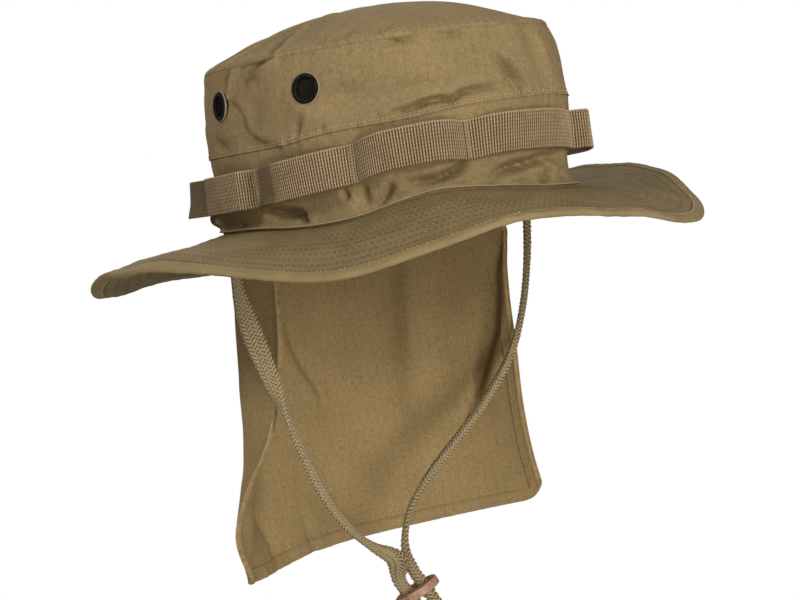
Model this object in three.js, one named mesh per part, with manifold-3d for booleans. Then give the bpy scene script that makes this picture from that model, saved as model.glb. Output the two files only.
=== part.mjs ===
import * as THREE from "three";
import { mergeVertices } from "three/addons/utils/BufferGeometryUtils.js";
import Module from "manifold-3d";

// A jungle hat with a neck flap and a chin cord, in millimetres.
//
// +Z is up, the wearer looks along -Y, and the wearer's right is -X. The origin is the centre of
// the head opening, level with the seam between crown and brim. A place around the hat is an angle
// in degrees: 0 is the front, 90 the wearer's right, 180 the back and -90 the wearer's left.

// ---------------------------------------------------------------------------------------------
// Sizes

const GAP = 0.3; // space left between neighbouring pieces
const TURN = 360;
const UP = new THREE.Vector3(0, 0, 1);

const HEAD = { side: 83, front: 100 }; // half widths of the crown at the brim seam
const CROWN_CLOTH = 1.6; // the crown is two layers of ripstop
const TOP_SEAM = 83; // height of the seam around the top panel
const DOME = { rise: 21.6, fullness: 2.15 }; // the top panel's dome over that seam
// Dents and ridges in the dome: around (half length, in degrees) and wide (share of its radius).
const DOME_FOLDS = [
  { angle: -48, out: 0.82, around: 42, wide: 0.24, push: -2.3 },
  { angle: 84, out: 0.78, around: 13, wide: 0.3, push: -1.6 },
  { angle: 62, out: 0.7, around: 12, wide: 0.3, push: 1.2 },
];

// How far the crown stands out from the brim seam's oval, up its height.
const CROWN_PROFILE = [
  { height: -12, spread: 0.4 },
  { height: 0, spread: 0.5 },
  { height: 22, spread: 0.8 },
  { height: 42, spread: 2.2 },
  { height: 56, spread: 1.6 },
  { height: 74, spread: 0.0 },
  { height: TOP_SEAM, spread: -3.4 },
];

// Heights around the hat: the brim seam, the seam above the webbing, the webbing's middle
// and the brim's outer edge.
const BRIM_SEAM = [
  { angle: -150, height: 0 },
  { angle: -60, height: -0.5 },
  { angle: -6, height: 0.8 },
  { angle: 14, height: 3.7 },
  { angle: 35, height: 6.2 },
  { angle: 48, height: 3.0 },
  { angle: 60, height: -1.2 },
  { angle: 76, height: -2.6 },
  { angle: 100, height: -0.4 },
];
const BAND_SEAM = [
  { angle: -150, height: 40.5 },
  { angle: -90, height: 43.0 },
  { angle: -27, height: 46.8 },
  { angle: 20, height: 46.6 },
  { angle: 44, height: 43.5 },
  { angle: 64, height: 42.7 },
  { angle: 83, height: 40.0 },
  { angle: 138, height: 40.5 },
];
const WEBBING_LINE = [
  { angle: -165, height: 22.5 },
  { angle: -94, height: 24.0 },
  { angle: -42, height: 27.8 },
  { angle: -24, height: 29.2 },
  { angle: 0, height: 30.2 },
  { angle: 25, height: 29.8 },
  { angle: 59, height: 26.2 },
  { angle: 94, height: 21.6 },
  { angle: 126, height: 21.0 },
];
const BRIM_EDGE = [
  { angle: -150, height: -20, reach: 63 },
  { angle: -120, height: -4, reach: 62 },
  { angle: -95, height: 9, reach: 62 },
  { angle: -82, height: 9.5, reach: 62.5 },
  { angle: -63, height: 2, reach: 63 },
  { angle: -45, height: -13.5, reach: 61.5 },
  { angle: -19, height: -23.5, reach: 62 },
  { angle: 3, height: -15, reach: 63 },
  { angle: 24, height: -10, reach: 65 },
  { angle: 43, height: -20, reach: 66 },
  { angle: 56, height: -25, reach: 66 },
  { angle: 68, height: -20.6, reach: 66 },
  { angle: 80, height: -13.8, reach: 66 },
  { angle: 87, height: -9.2, reach: 66.8 },
  { angle: 93, height: -6.9, reach: 67.5 },
  { angle: 98, height: -8.2, reach: 68.2 },
  { angle: 103, height: -11.3, reach: 68.9 },
  { angle: 108, height: -14.6, reach: 69.8 },
  { angle: 113, height: -17.1, reach: 70.8 },
  { angle: 121, height: -19.9, reach: 71.8 },
  { angle: 130, height: -23.7, reach: 72 },
  { angle: 139, height: -25.8, reach: 71.4 },
  { angle: 148, height: -25.8, reach: 70.6 },
  { angle: 158, height: -23.6, reach: 69.5 },
  { angle: 170, height: -20.8, reach: 67.9 },
  { angle: 185, height: -21, reach: 66 },
];
// How far the brim's edge is turned up, and how far the cloth inside it swells up, broadly and
// near the edge.
const BRIM_CURL = [
  { angle: -100, turned: 0, broad: 0, near: 0 },
  { angle: 60, turned: 0, broad: 0, near: 0 },
  { angle: 74, turned: -0.6, broad: 0, near: 0 },
  { angle: 80, turned: -1.4, broad: 0, near: 0 },
  { angle: 87, turned: -3.5, broad: 0, near: 0 },
  { angle: 93, turned: -4, broad: 0.2, near: 0.4 },
  { angle: 98, turned: -2.4, broad: 0.6, near: 0.8 },
  { angle: 103, turned: 0.2, broad: 1, near: 1.9 },
  { angle: 108, turned: 3.3, broad: 1.2, near: 3.3 },
  { angle: 113, turned: 6, broad: 0.8, near: 3.6 },
  { angle: 118, turned: 6.2, broad: 0, near: 1.8 },
  { angle: 124, turned: 5.6, broad: -1.4, near: 0 },
  { angle: 130, turned: 4.8, broad: -2.6, near: -0.4 },
  { angle: 139, turned: 3.6, broad: -3.4, near: -0.4 },
  { angle: 148, turned: 2.8, broad: -3.4, near: 0 },
  { angle: 158, turned: 1.9, broad: -2.6, near: 0 },
  { angle: 170, turned: 0.6, broad: -1, near: 0 },
  { angle: 184, turned: 0, broad: 0, near: 0 },
];

// Dents and ridges pressed into the crown cloth. Each lies at an angle and a height, leans from
// the level (in degrees), is long and wide (half lengths), and stands out by push.
const CROWN_FOLDS = [
  { angle: 103, height: 74, lean: 88, long: 12, wide: 5, push: -1.8 },
  { angle: 92, height: 55, lean: -50, long: 12, wide: 5, push: -1.2 },
  { angle: 70, height: 52, lean: 35, long: 10, wide: 5, push: 0.9 },
  { angle: -8, height: 72, lean: 80, long: 16, wide: 6, push: -1.2 },
  { angle: 44, height: 9, lean: 42, long: 18, wide: 5, push: 1.8 },
  { angle: 58, height: 10, lean: 75, long: 8, wide: 4, push: -1.6 },
  { angle: 80, height: 8, lean: -12, long: 13, wide: 4, push: -1.5 },
  { angle: 5, height: 13, lean: 35, long: 12, wide: 4, push: -1.3 },
  { angle: -18, height: 9, lean: 50, long: 8, wide: 4, push: -1.2 },
  { angle: 150, height: 62, lean: 70, long: 16, wide: 7, push: -1.4 },
  { angle: -70, height: 12, lean: -30, long: 14, wide: 5, push: -1.4 },
  { angle: -120, height: 60, lean: 60, long: 15, wide: 7, push: -1.3 },
  { angle: -160, height: 10, lean: 25, long: 15, wide: 5, push: -1.4 },
  { angle: 140, height: 10, lean: 0, long: 26, wide: 7, push: 4.2 },
  { angle: -40, height: 13, lean: 0, long: 20, wide: 7, push: -3.2 },
];

const BRIM = { binding: 5.5, thickness: 2.0, boundThickness: 2.6, droop: 0.45 };

const WEBBING = { width: 19, thickness: 1.5, fullness: 3.2, stitch: 1.2 };
// The webbing's stitch lines, and the loop that starts at each: how far its middle bulges and
// rises, and how far its top edge leans out past its lower one.
const WEBBING_LOOPS = [
  { angle: -165, bulge: 8.5, rise: -0.5, lean: 2 },
  { angle: -130, bulge: 9.0, rise: 0, lean: -2 },
  { angle: -94.5, bulge: 8.5, rise: 0.5, lean: 2 },
  { angle: -59, bulge: 9.5, rise: 0, lean: 0 },
  { angle: -24, bulge: 8.5, rise: 1.0, lean: 4 },
  { angle: 24.5, bulge: 9.5, rise: 3.4, lean: 4 },
  { angle: 59, bulge: 8.0, rise: -0.5, lean: 2 },
  { angle: 94.5, bulge: 7.5, rise: 0, lean: 0 },
  { angle: 126, bulge: 12.5, rise: 0, lean: -2 },
  { angle: 163, bulge: 8.5, rise: 0.5, lean: 2 },
];

const EYELET = { height: 65.2, barrel: 5.2, wall: 0.5, flange: 7.2, hole: 5.8, depth: 2.6 };
const EYELET_SCREEN = { radius: 4.3, thickness: 0.5, sunk: 0.2 };
const EYELETS = [
  { name: "right_front", angle: 71 },
  { name: "right_rear", angle: 109 },
  { name: "left_front", angle: -71 },
  { name: "left_rear", angle: -109 },
];

const FLAP = { cloth: 1.3, hemCloth: 2.4, hem: 7, length: 172, curve: 5.7, rise: 1.4, reach: 87 };
const FLAP_HEM = { halfWidth: 106, edge: 27, back: 90 }; // the lower hem's plan
// How far the flap has opened from the head's oval to the lower hem's plan, down its length.
const FLAP_SPREAD = [
  { drop: 0, right: 0, left: 0 },
  { drop: 24, right: 0, left: 0.02 },
  { drop: 62, right: 0.12, left: 0.11 },
  { drop: 100, right: 0.44, left: 0.42 },
  { drop: 126, right: 0.9, left: 0.74 },
  { drop: 148, right: 1.15, left: 0.93 },
  { drop: 172, right: 1.01, left: 0.95 },
];
// Folds in the flap: across runs from -1 at the wearer's right edge to 1 at the left one.
const FLAP_FOLDS = [
  { across: -0.72, drop: 72, lean: 90, long: 55, wide: 26, push: 3.5 },
  { across: 0.55, drop: 60, lean: 84, long: 62, wide: 9, push: -5 },
  { across: -0.2, drop: 70, lean: 80, long: 45, wide: 8, push: 2.5 },
  { across: -0.62, drop: 140, lean: 60, long: 22, wide: 9, push: -3 },
  { across: 0.1, drop: 140, lean: 88, long: 40, wide: 16, push: 3 },
  { across: 1, drop: 116, lean: 90, long: 42, wide: 30, push: -5 },
  { across: 1, drop: 172, lean: 90, long: 18, wide: 22, push: 3.4 },
];

const FLAP_TOP = -1.2; // just under the crown band
const FLAP_INSET = 1.6; // from the crown's outer face to the flap's middle layer
const CORD = { width: 6.4, thickness: 3, sides: 10, steps: 38 };
const SLIDER = { radius: 12.4, thickness: 4.4, bevel: 0.6, slot: 7.2, slotWidth: 3.8 };
const CORD_APART = 4.5; // each leg's offset from the middle of the slider and the knot
const KNOT = { radius: 9.4, flatness: 0.7, height: 15, waist: 0.45 };

// ---------------------------------------------------------------------------------------------
// Tables and cloth

const radians = (degrees) => THREE.MathUtils.degToRad(degrees);
const clamp = THREE.MathUtils.clamp;

// One column of a table at a place between its rows, on a smooth curve through them. Around the
// hat the table's last row runs on into its first.
function read(table, key, column, place, period = 0) {
  const count = table.length;
  const row = (index) => {
    const turns = period ? Math.floor(index / count) : 0;
    const held = period ? index - turns * count : clamp(index, 0, count - 1);
    return { x: table[held][key] + turns * period, y: table[held][column] };
  };
  const first = table[0][key];
  const last = period ? first + period : table[count - 1][key];
  const around = first + THREE.MathUtils.euclideanModulo(place - first, period || 1);
  const x = period ? around : clamp(place, first, last);
  let index = 0;
  while (index < (period ? count - 1 : count - 2) && x > row(index + 1).x) index += 1;
  const [before, start, end, after] = [-1, 0, 1, 2].map((step) => row(index + step));
  const span = end.x - start.x;
  const t = (x - start.x) / span;
  const startSlope = (end.y - before.y) / (end.x - before.x);
  const endSlope = (after.y - start.y) / (after.x - start.x);
  const rise = t * t * (3 - 2 * t);
  const startPull = span * startSlope * t * (1 - t) * (1 - t);
  const endPull = span * endSlope * t * t * (t - 1);
  return start.y + (end.y - start.y) * rise + startPull + endPull;
}

const brimSeam = (angle) => read(BRIM_SEAM, "angle", "height", angle, TURN);
const bandSeam = (angle) => read(BAND_SEAM, "angle", "height", angle, TURN);
const webbingLine = (angle) => read(WEBBING_LINE, "angle", "height", angle, TURN);
const brimEdge = (angle) => read(BRIM_EDGE, "angle", "height", angle, TURN);
const brimReach = (angle) => read(BRIM_EDGE, "angle", "reach", angle, TURN);

// How far a set of folds pushes a point of the cloth, from its distances to each fold's middle.
function foldPush(folds, sideways, upwards) {
  return folds.reduce((sum, fold) => {
    const s = sideways(fold);
    const z = upwards(fold);
    const lean = radians(fold.lean);
    const along = (s * Math.cos(lean) + z * Math.sin(lean)) / fold.long;
    const across = (z * Math.cos(lean) - s * Math.sin(lean)) / fold.wide;
    return sum + fold.push * Math.exp(-along * along - across * across);
  }, 0);
}

// A point on an oval with the head's proportions: grown by spread, then moved outwards.
function onOval(angle, spread, outwards, height) {
  const [sin, cos] = [Math.sin(radians(angle)), Math.cos(radians(angle))];
  const [side, front] = [HEAD.side + spread, HEAD.front + spread];
  const slope = Math.hypot(sin / side, cos / front);
  const x = -side * sin - (outwards * sin) / side / slope;
  const y = -front * cos - (outwards * cos) / front / slope;
  return new THREE.Vector3(x, y, height);
}

// A closed cloth wall between two faces, each a function of u and v. A wall that is closed around
// joins its last column to its first, and the others have rims on all four sides.
function wall(face, back, us, vs, closedAround) {
  const [columns, rows] = [us.length, vs.length];
  const positions = [face, back].flatMap((side) =>
    us.flatMap((u) => vs.flatMap((v) => side(u, v).toArray())),
  );
  const at = (side, column, row) => (side * columns + (column % columns)) * rows + row;
  const triangles = [];
  const quad = (a, b, c, d) => triangles.push(a, b, c, a, c, d);
  const spans = closedAround ? columns : columns - 1;
  for (let i = 0; i < spans; i += 1) {
    for (let j = 0; j < rows - 1; j += 1) {
      quad(at(0, i, j), at(0, i + 1, j), at(0, i + 1, j + 1), at(0, i, j + 1));
      quad(at(1, i, j), at(1, i, j + 1), at(1, i + 1, j + 1), at(1, i + 1, j));
    }
    quad(at(0, i, 0), at(1, i, 0), at(1, i + 1, 0), at(0, i + 1, 0));
    quad(at(0, i, rows - 1), at(0, i + 1, rows - 1), at(1, i + 1, rows - 1), at(1, i, rows - 1));
  }
  for (let j = 0; j < rows - 1 && !closedAround; j += 1) {
    const end = columns - 1;
    quad(at(0, 0, j), at(0, 0, j + 1), at(1, 0, j + 1), at(1, 0, j));
    quad(at(0, end, j), at(1, end, j), at(1, end, j + 1), at(0, end, j + 1));
  }
  return facingOut(positions, triangles);
}

// The closed mesh of some triangles, without the empty ones where a row meets in one point, and
// turned so that its faces point out.
function facingOut(positions, triangles) {
  const loose = new THREE.BufferGeometry();
  loose.setAttribute("position", new THREE.Float32BufferAttribute(positions, 3));
  loose.setIndex(triangles);
  const merged = mergeVertices(loose, 1e-3);
  const kept = [];
  const corner = (index) => new THREE.Vector3().fromBufferAttribute(merged.attributes.position, index);
  let volume = 0;
  for (let i = 0; i < merged.index.count; i += 3) {
    const [a, b, c] = merged.index.array.slice(i, i + 3);
    if (a === b || b === c || c === a) continue;
    kept.push(a, b, c);
    volume += corner(a).dot(corner(b).cross(corner(c)));
  }
  if (volume < 0) kept.reverse();
  merged.setIndex(kept);
  merged.computeVertexNormals();
  return merged;
}

const smooth = (t) => THREE.MathUtils.smoothstep(t, 0, 1);
const steps = (count, low, high) =>
  Array.from({ length: count }, (_, index) => low + ((high - low) * index) / (count - 1));
const roundTheHat = (count) => Array.from({ length: count }, (_, index) => (index * TURN) / count - 180);

// ---------------------------------------------------------------------------------------------
// Assembly

const hat = new THREE.Group();
const wasm = await Module();
wasm.setup();

function add(name, geometry, color, roughness = 0.9, metalness = 0) {
  const material = new THREE.MeshStandardMaterial({ color, roughness, metalness });
  const mesh = new THREE.Mesh(geometry, material);
  mesh.name = name;
  hat.add(mesh);
  return mesh;
}

const RIPSTOP = "#87704b";
const BRIM_CLOTH = "#7d6845";
const WEBBING_THREAD = "#8d7455";
const CORD_THREAD = "#857049";
const LEATHER = "#8a5b48";
const BLACKENED_METAL = "#1c1b1a";

// ---------------------------------------------------------------------------------------------
// Crown

// How far the folds push the crown's cloth out; they die away at its top seam and at the brim.
function crownPush(angle, height) {
  const aboveBrim = height - brimSeam(angle) - BRIM.thickness;
  const perDegree = (Math.PI * (HEAD.side + HEAD.front)) / TURN;
  const turned = (fold) => THREE.MathUtils.euclideanModulo(angle - fold.angle + 180, TURN) - 180;
  const push = foldPush(CROWN_FOLDS, (fold) => turned(fold) * perDegree, (fold) => height - fold.height);
  return push * clamp((TOP_SEAM - height) / 8, 0, 1) * clamp(aboveBrim / 5, 0, 1);
}

// A point of the crown's cloth, on its outer face or moved outwards from it.
function crownPoint(angle, height, outwards = 0) {
  const spread = read(CROWN_PROFILE, "height", "spread", height);
  return onOval(angle, spread, outwards + crownPush(angle, height), height);
}

// The outward direction square to the crown's cloth.
function crownNormal(angle, height) {
  const around = crownPoint(angle - 1, height).sub(crownPoint(angle + 1, height));
  const upwards = crownPoint(angle, height + 1).sub(crownPoint(angle, height - 1));
  return around.cross(upwards).normalize();
}

// The top panel's dome, from its middle (0) to its seam (1).
function domePoint(angle, out, lift) {
  const spread = read(CROWN_PROFILE, "height", "spread", TOP_SEAM);
  const rim = onOval(angle, spread, 0, 0).multiplyScalar(out);
  const push = DOME_FOLDS.reduce((sum, fold) => {
    const around = (THREE.MathUtils.euclideanModulo(angle - fold.angle + 180, TURN) - 180) / fold.around;
    const inwards = (out - fold.out) / fold.wide;
    return sum + fold.push * Math.exp(-around * around - inwards * inwards);
  }, 0);
  const slack = clamp((1 - out) * 8, 0, 1) * clamp(out * 4, 0, 1);
  rim.z = TOP_SEAM + lift + DOME.rise * (1 - out ** DOME.fullness) + push * slack;
  return rim;
}

function crownWall(low, high, columns, rows) {
  const height = (angle, v) => low(angle) + (high(angle) - low(angle)) * v;
  const outer = (angle, v) => crownPoint(angle, height(angle, v));
  const inner = (angle, v) => crownPoint(angle, height(angle, v), -CROWN_CLOTH);
  return wall(outer, inner, roundTheHat(columns), rows, true);
}

function solidOf(geometry) {
  const bare = geometry.clone();
  bare.deleteAttribute("normal");
  bare.deleteAttribute("uv");
  const merged = mergeVertices(bare, 1e-3);
  return new wasm.Manifold(
    new wasm.Mesh({
      numProp: 3,
      vertProperties: merged.attributes.position.array,
      triVerts: new Uint32Array(merged.index.array),
    }),
  );
}

function geometryOf(solid) {
  const mesh = solid.getMesh();
  const geometry = new THREE.BufferGeometry();
  geometry.setAttribute("position", new THREE.Float32BufferAttribute(mesh.vertProperties, 3));
  geometry.setIndex(Array.from(mesh.triVerts));
  geometry.computeVertexNormals();
  return geometry;
}

// The turn that stands a piece made along +Z on the crown, square to the cloth.
const squareToCrown = (angle) =>
  new THREE.Quaternion().setFromUnitVectors(UP, crownNormal(angle, EYELET.height));

function cutVentHoles(geometry) {
  const cut = EYELETS.reduce((cloth, { angle }) => {
    const drill = new THREE.CylinderGeometry(EYELET.hole, EYELET.hole, 16, 20).rotateX(Math.PI / 2);
    drill.applyQuaternion(squareToCrown(angle));
    drill.translate(...crownPoint(angle, EYELET.height).toArray());
    return cloth.subtract(solidOf(drill));
  }, solidOf(geometry));
  return geometryOf(cut);
}

const bandTop = (angle) => bandSeam(angle) - GAP / 2;
const sideBottom = (angle) => bandSeam(angle) + GAP / 2;
const domeTop = (angle, out) => domePoint(angle, out, CROWN_CLOTH + GAP);
const domeUnderside = (angle, out) => domePoint(angle, out, GAP);

add("crown_top", wall(domeTop, domeUnderside, roundTheHat(36), steps(7, 0, 1), true), RIPSTOP);
add("crown_side", cutVentHoles(crownWall(sideBottom, () => TOP_SEAM, 72, steps(6, 0, 1))), RIPSTOP);
add("crown_band", crownWall(brimSeam, bandTop, 72, [0, 0.08, 0.36, 0.68, 1]), RIPSTOP);

// ---------------------------------------------------------------------------------------------
// Vent eyelets

const FLANGE_SEAT = 0.45; // the flange clears the curved cloth by this
const ringProfile = [
  [EYELET.barrel - EYELET.wall, -EYELET.depth],
  [EYELET.barrel, -EYELET.depth],
  [EYELET.barrel, FLANGE_SEAT],
  [EYELET.flange - 0.3, FLANGE_SEAT],
  [EYELET.flange, FLANGE_SEAT + 0.5],
  [EYELET.flange - 1.2, FLANGE_SEAT + 1.25],
  [EYELET.barrel, FLANGE_SEAT + 1.0],
  [EYELET.barrel - EYELET.wall, FLANGE_SEAT + 0.4],
].map(([radius, height]) => new THREE.Vector2(radius, height));

EYELETS.forEach(({ name, angle }) => {
  const ring = new THREE.LatheGeometry([...ringProfile, ringProfile[0]], 20).rotateX(Math.PI / 2);
  const { radius, thickness, sunk } = EYELET_SCREEN;
  const screen = new THREE.CylinderGeometry(radius, radius, thickness, 20).rotateX(Math.PI / 2);
  screen.translate(0, 0, -sunk);
  const pieces = [
    add(`eyelet_ring_${name}`, ring, BLACKENED_METAL, 0.35, 0.8),
    add(`eyelet_screen_${name}`, screen, BLACKENED_METAL, 0.6, 0.4),
  ];
  pieces.forEach((piece) => {
    piece.position.copy(crownPoint(angle, EYELET.height));
    piece.quaternion.copy(squareToCrown(angle));
  });
});

// ---------------------------------------------------------------------------------------------
// Brim

// A point of the brim's middle layer, from the crown seam (0) to its outer edge (1).
function brimPoint(angle, out, lift = 0) {
  const fall = (1 - BRIM.droop) * out + BRIM.droop * out * out;
  const swells = {
    turned: smooth((out - 0.8) / 0.24) / smooth(0.2 / 0.24),
    broad: smooth((out - 0.15) / 0.4) * (1 - smooth((out - 0.75) / 0.25)),
    near: smooth((out - 0.48) / 0.34) * (1 - smooth((out - 0.82) / 0.18)),
  };
  const curled = Object.entries(swells).map(([name, share]) => share * read(BRIM_CURL, "angle", name, angle, TURN));
  const flat = brimSeam(angle) * (1 - fall) + brimEdge(angle) * fall;
  const height = curled.reduce((sum, rise) => sum + rise, flat);
  const seam = read(CROWN_PROFILE, "height", "spread", 0) + GAP;
  return onOval(angle, seam, brimReach(angle) * out, height + lift);
}

// Columns round the brim, twice as close where its edge curls.
const BRIM_COLUMNS = steps(72, -180, 175).flatMap((angle) => (angle > 75 && angle < 155 ? [angle, angle + 2.5] : [angle]));

function brimWall(from, to, thickness, rows) {
  const top = (angle, out) => brimPoint(angle, out, thickness / 2);
  const underside = (angle, out) => brimPoint(angle, out, -thickness / 2);
  return wall(top, underside, BRIM_COLUMNS, steps(rows, from, to), true);
}

const meanReach = BRIM_EDGE.reduce((sum, row) => sum + row.reach, 0) / BRIM_EDGE.length;
const bindingStart = 1 - BRIM.binding / meanReach;
const bindingGap = GAP / meanReach;
add("brim", brimWall(0, bindingStart - bindingGap, BRIM.thickness, 9), BRIM_CLOTH);
add("brim_binding", brimWall(bindingStart, 1, BRIM.boundThickness, 3), BRIM_CLOTH);

// ---------------------------------------------------------------------------------------------
// Webbing band

// The loop at an angle, with how far along its bulge the angle lies: 0 on the stitches, 1 between.
function webbingLoop(angle) {
  const first = WEBBING_LOOPS[0].angle;
  const place = first + THREE.MathUtils.euclideanModulo(angle - first, TURN);
  const index = WEBBING_LOOPS.findLastIndex((loop) => place >= loop.angle);
  const [start, end] = [WEBBING_LOOPS[index].angle, WEBBING_LOOPS[index + 1]?.angle ?? first + TURN];
  const half = (end - start) / 2 - WEBBING.stitch;
  const off = clamp(Math.abs(place - (start + end) / 2) / half, 0, 1);
  return { ...WEBBING_LOOPS[index], swell: 1 - off ** WEBBING.fullness };
}

// The angles of the webbing's columns: on both sides of each stitch line, and closer near it.
const webbingColumns = WEBBING_LOOPS.flatMap(({ angle }, index) => {
  const end = WEBBING_LOOPS[index + 1]?.angle ?? WEBBING_LOOPS[0].angle + TURN;
  const [low, high] = [angle + WEBBING.stitch, end - WEBBING.stitch];
  const bend = (t) => 0.5 - 0.5 * Math.cos(Math.PI * t);
  return steps(9, 0, 1).map((t) => low + (high - low) * (0.6 * bend(t) + 0.4 * t));
});

// One face of the webbing, which keeps clear of every ridge in the cloth behind it.
function webbingFace(lift) {
  return (angle, v) => {
    const { bulge, rise, lean, swell } = webbingLoop(angle);
    const line = webbingLine(angle);
    const upright = Math.sqrt(1 - (lean / WEBBING.width) ** 2 * swell);
    const height = line + rise * swell + (v - 0.5) * WEBBING.width * upright;
    const spread = read(CROWN_PROFILE, "height", "spread", line + WEBBING.width / 2);
    const ridge = Math.max(0, crownPush(angle, height));
    return onOval(angle, spread, GAP + ridge + (bulge + lean * (v - 0.5)) * swell + lift, height);
  };
}
const webbing = wall(webbingFace(WEBBING.thickness), webbingFace(0), webbingColumns, steps(3, 0, 1), true);
add("webbing_band", webbing, WEBBING_THREAD);

// ---------------------------------------------------------------------------------------------
// Neck flap

// A point of the flap's middle layer, across from the wearer's right (-1) to left (1).
function flapPoint(across, drop, outwards = 0) {
  const { halfWidth, edge, back } = FLAP_HEM;
  const radius = (halfWidth ** 2 + (back - edge) ** 2) / (2 * (back - edge));
  const swing = Math.asin(halfWidth / radius) * across;
  const hem = new THREE.Vector3(radius * Math.sin(swing), back - radius * (1 - Math.cos(swing)), 0);
  const top = onOval(180 + FLAP.reach * across, read(CROWN_PROFILE, "height", "spread", 0), -FLAP_INSET, 0);
  const [right, left] = ["right", "left"].map((side) => read(FLAP_SPREAD, "drop", side, drop));
  const point = top.lerp(hem, right + (left - right) * (0.5 + 0.5 * across));
  const halfWay = (Math.PI / 2) * across;
  const facing = new THREE.Vector3(Math.sin(halfWay), Math.cos(halfWay), 0);
  const sideways = (fold) => (across - fold.across) * halfWidth * 1.25;
  const push = foldPush(FLAP_FOLDS, sideways, (fold) => fold.drop - drop);
  point.addScaledVector(facing, outwards + push);
  const lowered = FLAP.curve * (1 - across * across) - FLAP.rise * (0.5 + 0.5 * across);
  point.z = FLAP_TOP - drop * (1 + lowered / FLAP.length);
  return point;
}

// Rows or columns that close up on both sides of a hem's inner edge.
const withHems = (count, low, high, lowHem, highHem) => {
  const inner = steps(count, low + lowHem * 1.1, high - highHem * 1.1);
  return [low, ...(lowHem ? [low + lowHem] : []), ...inner, ...(highHem ? [high - highHem, high] : [])];
};

function flapWall() {
  const hemAcross = FLAP.hem / (FLAP_HEM.halfWidth * 1.3);
  const half = (across, drop) => {
    const inSideHem = Math.abs(across) > 1 - hemAcross * 1.05;
    const inHem = inSideHem || drop > FLAP.length - FLAP.hem * 1.05;
    return (inHem ? FLAP.hemCloth : FLAP.cloth) / 2;
  };
  const outer = (across, drop) => flapPoint(across, drop, half(across, drop));
  const inner = (across, drop) => flapPoint(across, drop, -half(across, drop));
  const columns = withHems(27, -1, 1, hemAcross, hemAcross);
  const rows = [0, ...withHems(10, 12, FLAP.length, 0, FLAP.hem).slice(1)];
  return wall(outer, inner, columns, rows, false);
}
add("neck_flap", flapWall(), RIPSTOP);

// ---------------------------------------------------------------------------------------------
// Chin cord, slider and knot

const SLIDER_MIDDLE = new THREE.Vector3(-19.5, 4, -195.3);
const SLIDER_WAY = new THREE.Vector3(0.33, -0.31, -0.89).normalize(); // the way the cords pass it
const TAIL_BEND = new THREE.Vector3(-12.5, -2.6, -216);
const TAIL_END = new THREE.Vector3(-11, -4.2, -228);
const TAIL_WAY = TAIL_END.clone().sub(TAIL_BEND).normalize();
const LEG_FACING = new THREE.Vector3(-0.68, -0.73, 0); // the way the slider's legs face
// Each leg from its exit under the brim to the slider, and the tail from there to the knot.
const RIGHT_LEG = [
  [-102, 11, -3.2],
  [-102, 11, -28],
  [-99.5, 9, -48],
  [-95.5, 6, -68],
  [-90, 4, -90],
  [-83, 3, -112],
  [-73.5, 3, -134],
  [-61, 3, -153],
  [-45.5, 4, -166.5],
  [-30.5, 4.5, -176.5],
];
const LEFT_LEG = [
  [101, 3, -0.9],
  [93, 1, -34],
  [82.5, 0, -62],
  [70.5, 1, -84],
  [50, 2, -104],
  [25, 3, -122],
  [1, 4, -138],
  [-17, 4, -154],
  [-23.5, 4, -170],
];
// The direction from the right leg to the left one, where both run the given way.
const acrossLegs = (way) => new THREE.Vector3().crossVectors(LEG_FACING, way).normalize();

function legPath(route, side) {
  const shifted = (point, way) => point.clone().addScaledVector(acrossLegs(way), side * CORD_APART);
  const reach = [-10, 0, 10]; // straight through the slider
  const points = [
    ...route.map((place) => new THREE.Vector3(...place)),
    ...reach.map((along) => shifted(SLIDER_MIDDLE.clone().addScaledVector(SLIDER_WAY, along), SLIDER_WAY)),
    shifted(TAIL_BEND, TAIL_WAY),
    shifted(TAIL_END, TAIL_WAY),
  ];
  return new THREE.CatmullRomCurve3(points, false, "centripetal");
}

// The cord's flat section, swept along its path and turned so that it lies flat in the slider.
function cordGeometry(path) {
  const frames = path.computeFrenetFrames(CORD.steps);
  const distances = path.getSpacedPoints(CORD.steps).map((place) => place.distanceTo(SLIDER_MIDDLE));
  const inSlider = distances.indexOf(Math.min(...distances));
  const across = acrossLegs(SLIDER_WAY);
  const alongNormal = across.dot(frames.normals[inSlider]);
  const turn = Math.atan2(across.dot(frames.binormals[inSlider]), alongNormal);
  const section = steps(CORD.sides + 1, 0, Math.PI * 2).slice(1).map((angle) => {
    const [x, y] = [(CORD.width / 2) * Math.cos(angle), (CORD.thickness / 2) * Math.sin(angle)];
    return new THREE.Vector2(x, y).rotateAround(new THREE.Vector2(), turn);
  });
  return new THREE.ExtrudeGeometry(new THREE.Shape(section), { steps: CORD.steps, extrudePath: path });
}

add("chin_cord_right", cordGeometry(legPath(RIGHT_LEG, -1)), CORD_THREAD);
add("chin_cord_left", cordGeometry(legPath(LEFT_LEG, 1)), CORD_THREAD);

// The slider's disc, with one slot for each leg, made flat and then stood across the cords.
function sliderGeometry() {
  const disc = new THREE.Shape().absarc(0, 0, SLIDER.radius - SLIDER.bevel, 0, Math.PI * 2);
  [-1, 1].forEach((side) => {
    const slot = new THREE.Path();
    const [halfSlot, halfWidth] = [SLIDER.slot / 2 + SLIDER.bevel, SLIDER.slotWidth / 2 + SLIDER.bevel];
    slot.absellipse(side * CORD_APART, 0, halfSlot, halfWidth, 0, Math.PI * 2, true);
    disc.holes.push(slot);
  });
  const bevel = { bevelThickness: SLIDER.bevel, bevelSize: SLIDER.bevel, bevelSegments: 2 };
  const depth = SLIDER.thickness - 2 * SLIDER.bevel;
  const geometry = new THREE.ExtrudeGeometry(disc, { depth, curveSegments: 9, bevelEnabled: true, ...bevel });
  return geometry.translate(0, 0, -depth / 2);
}

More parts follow.
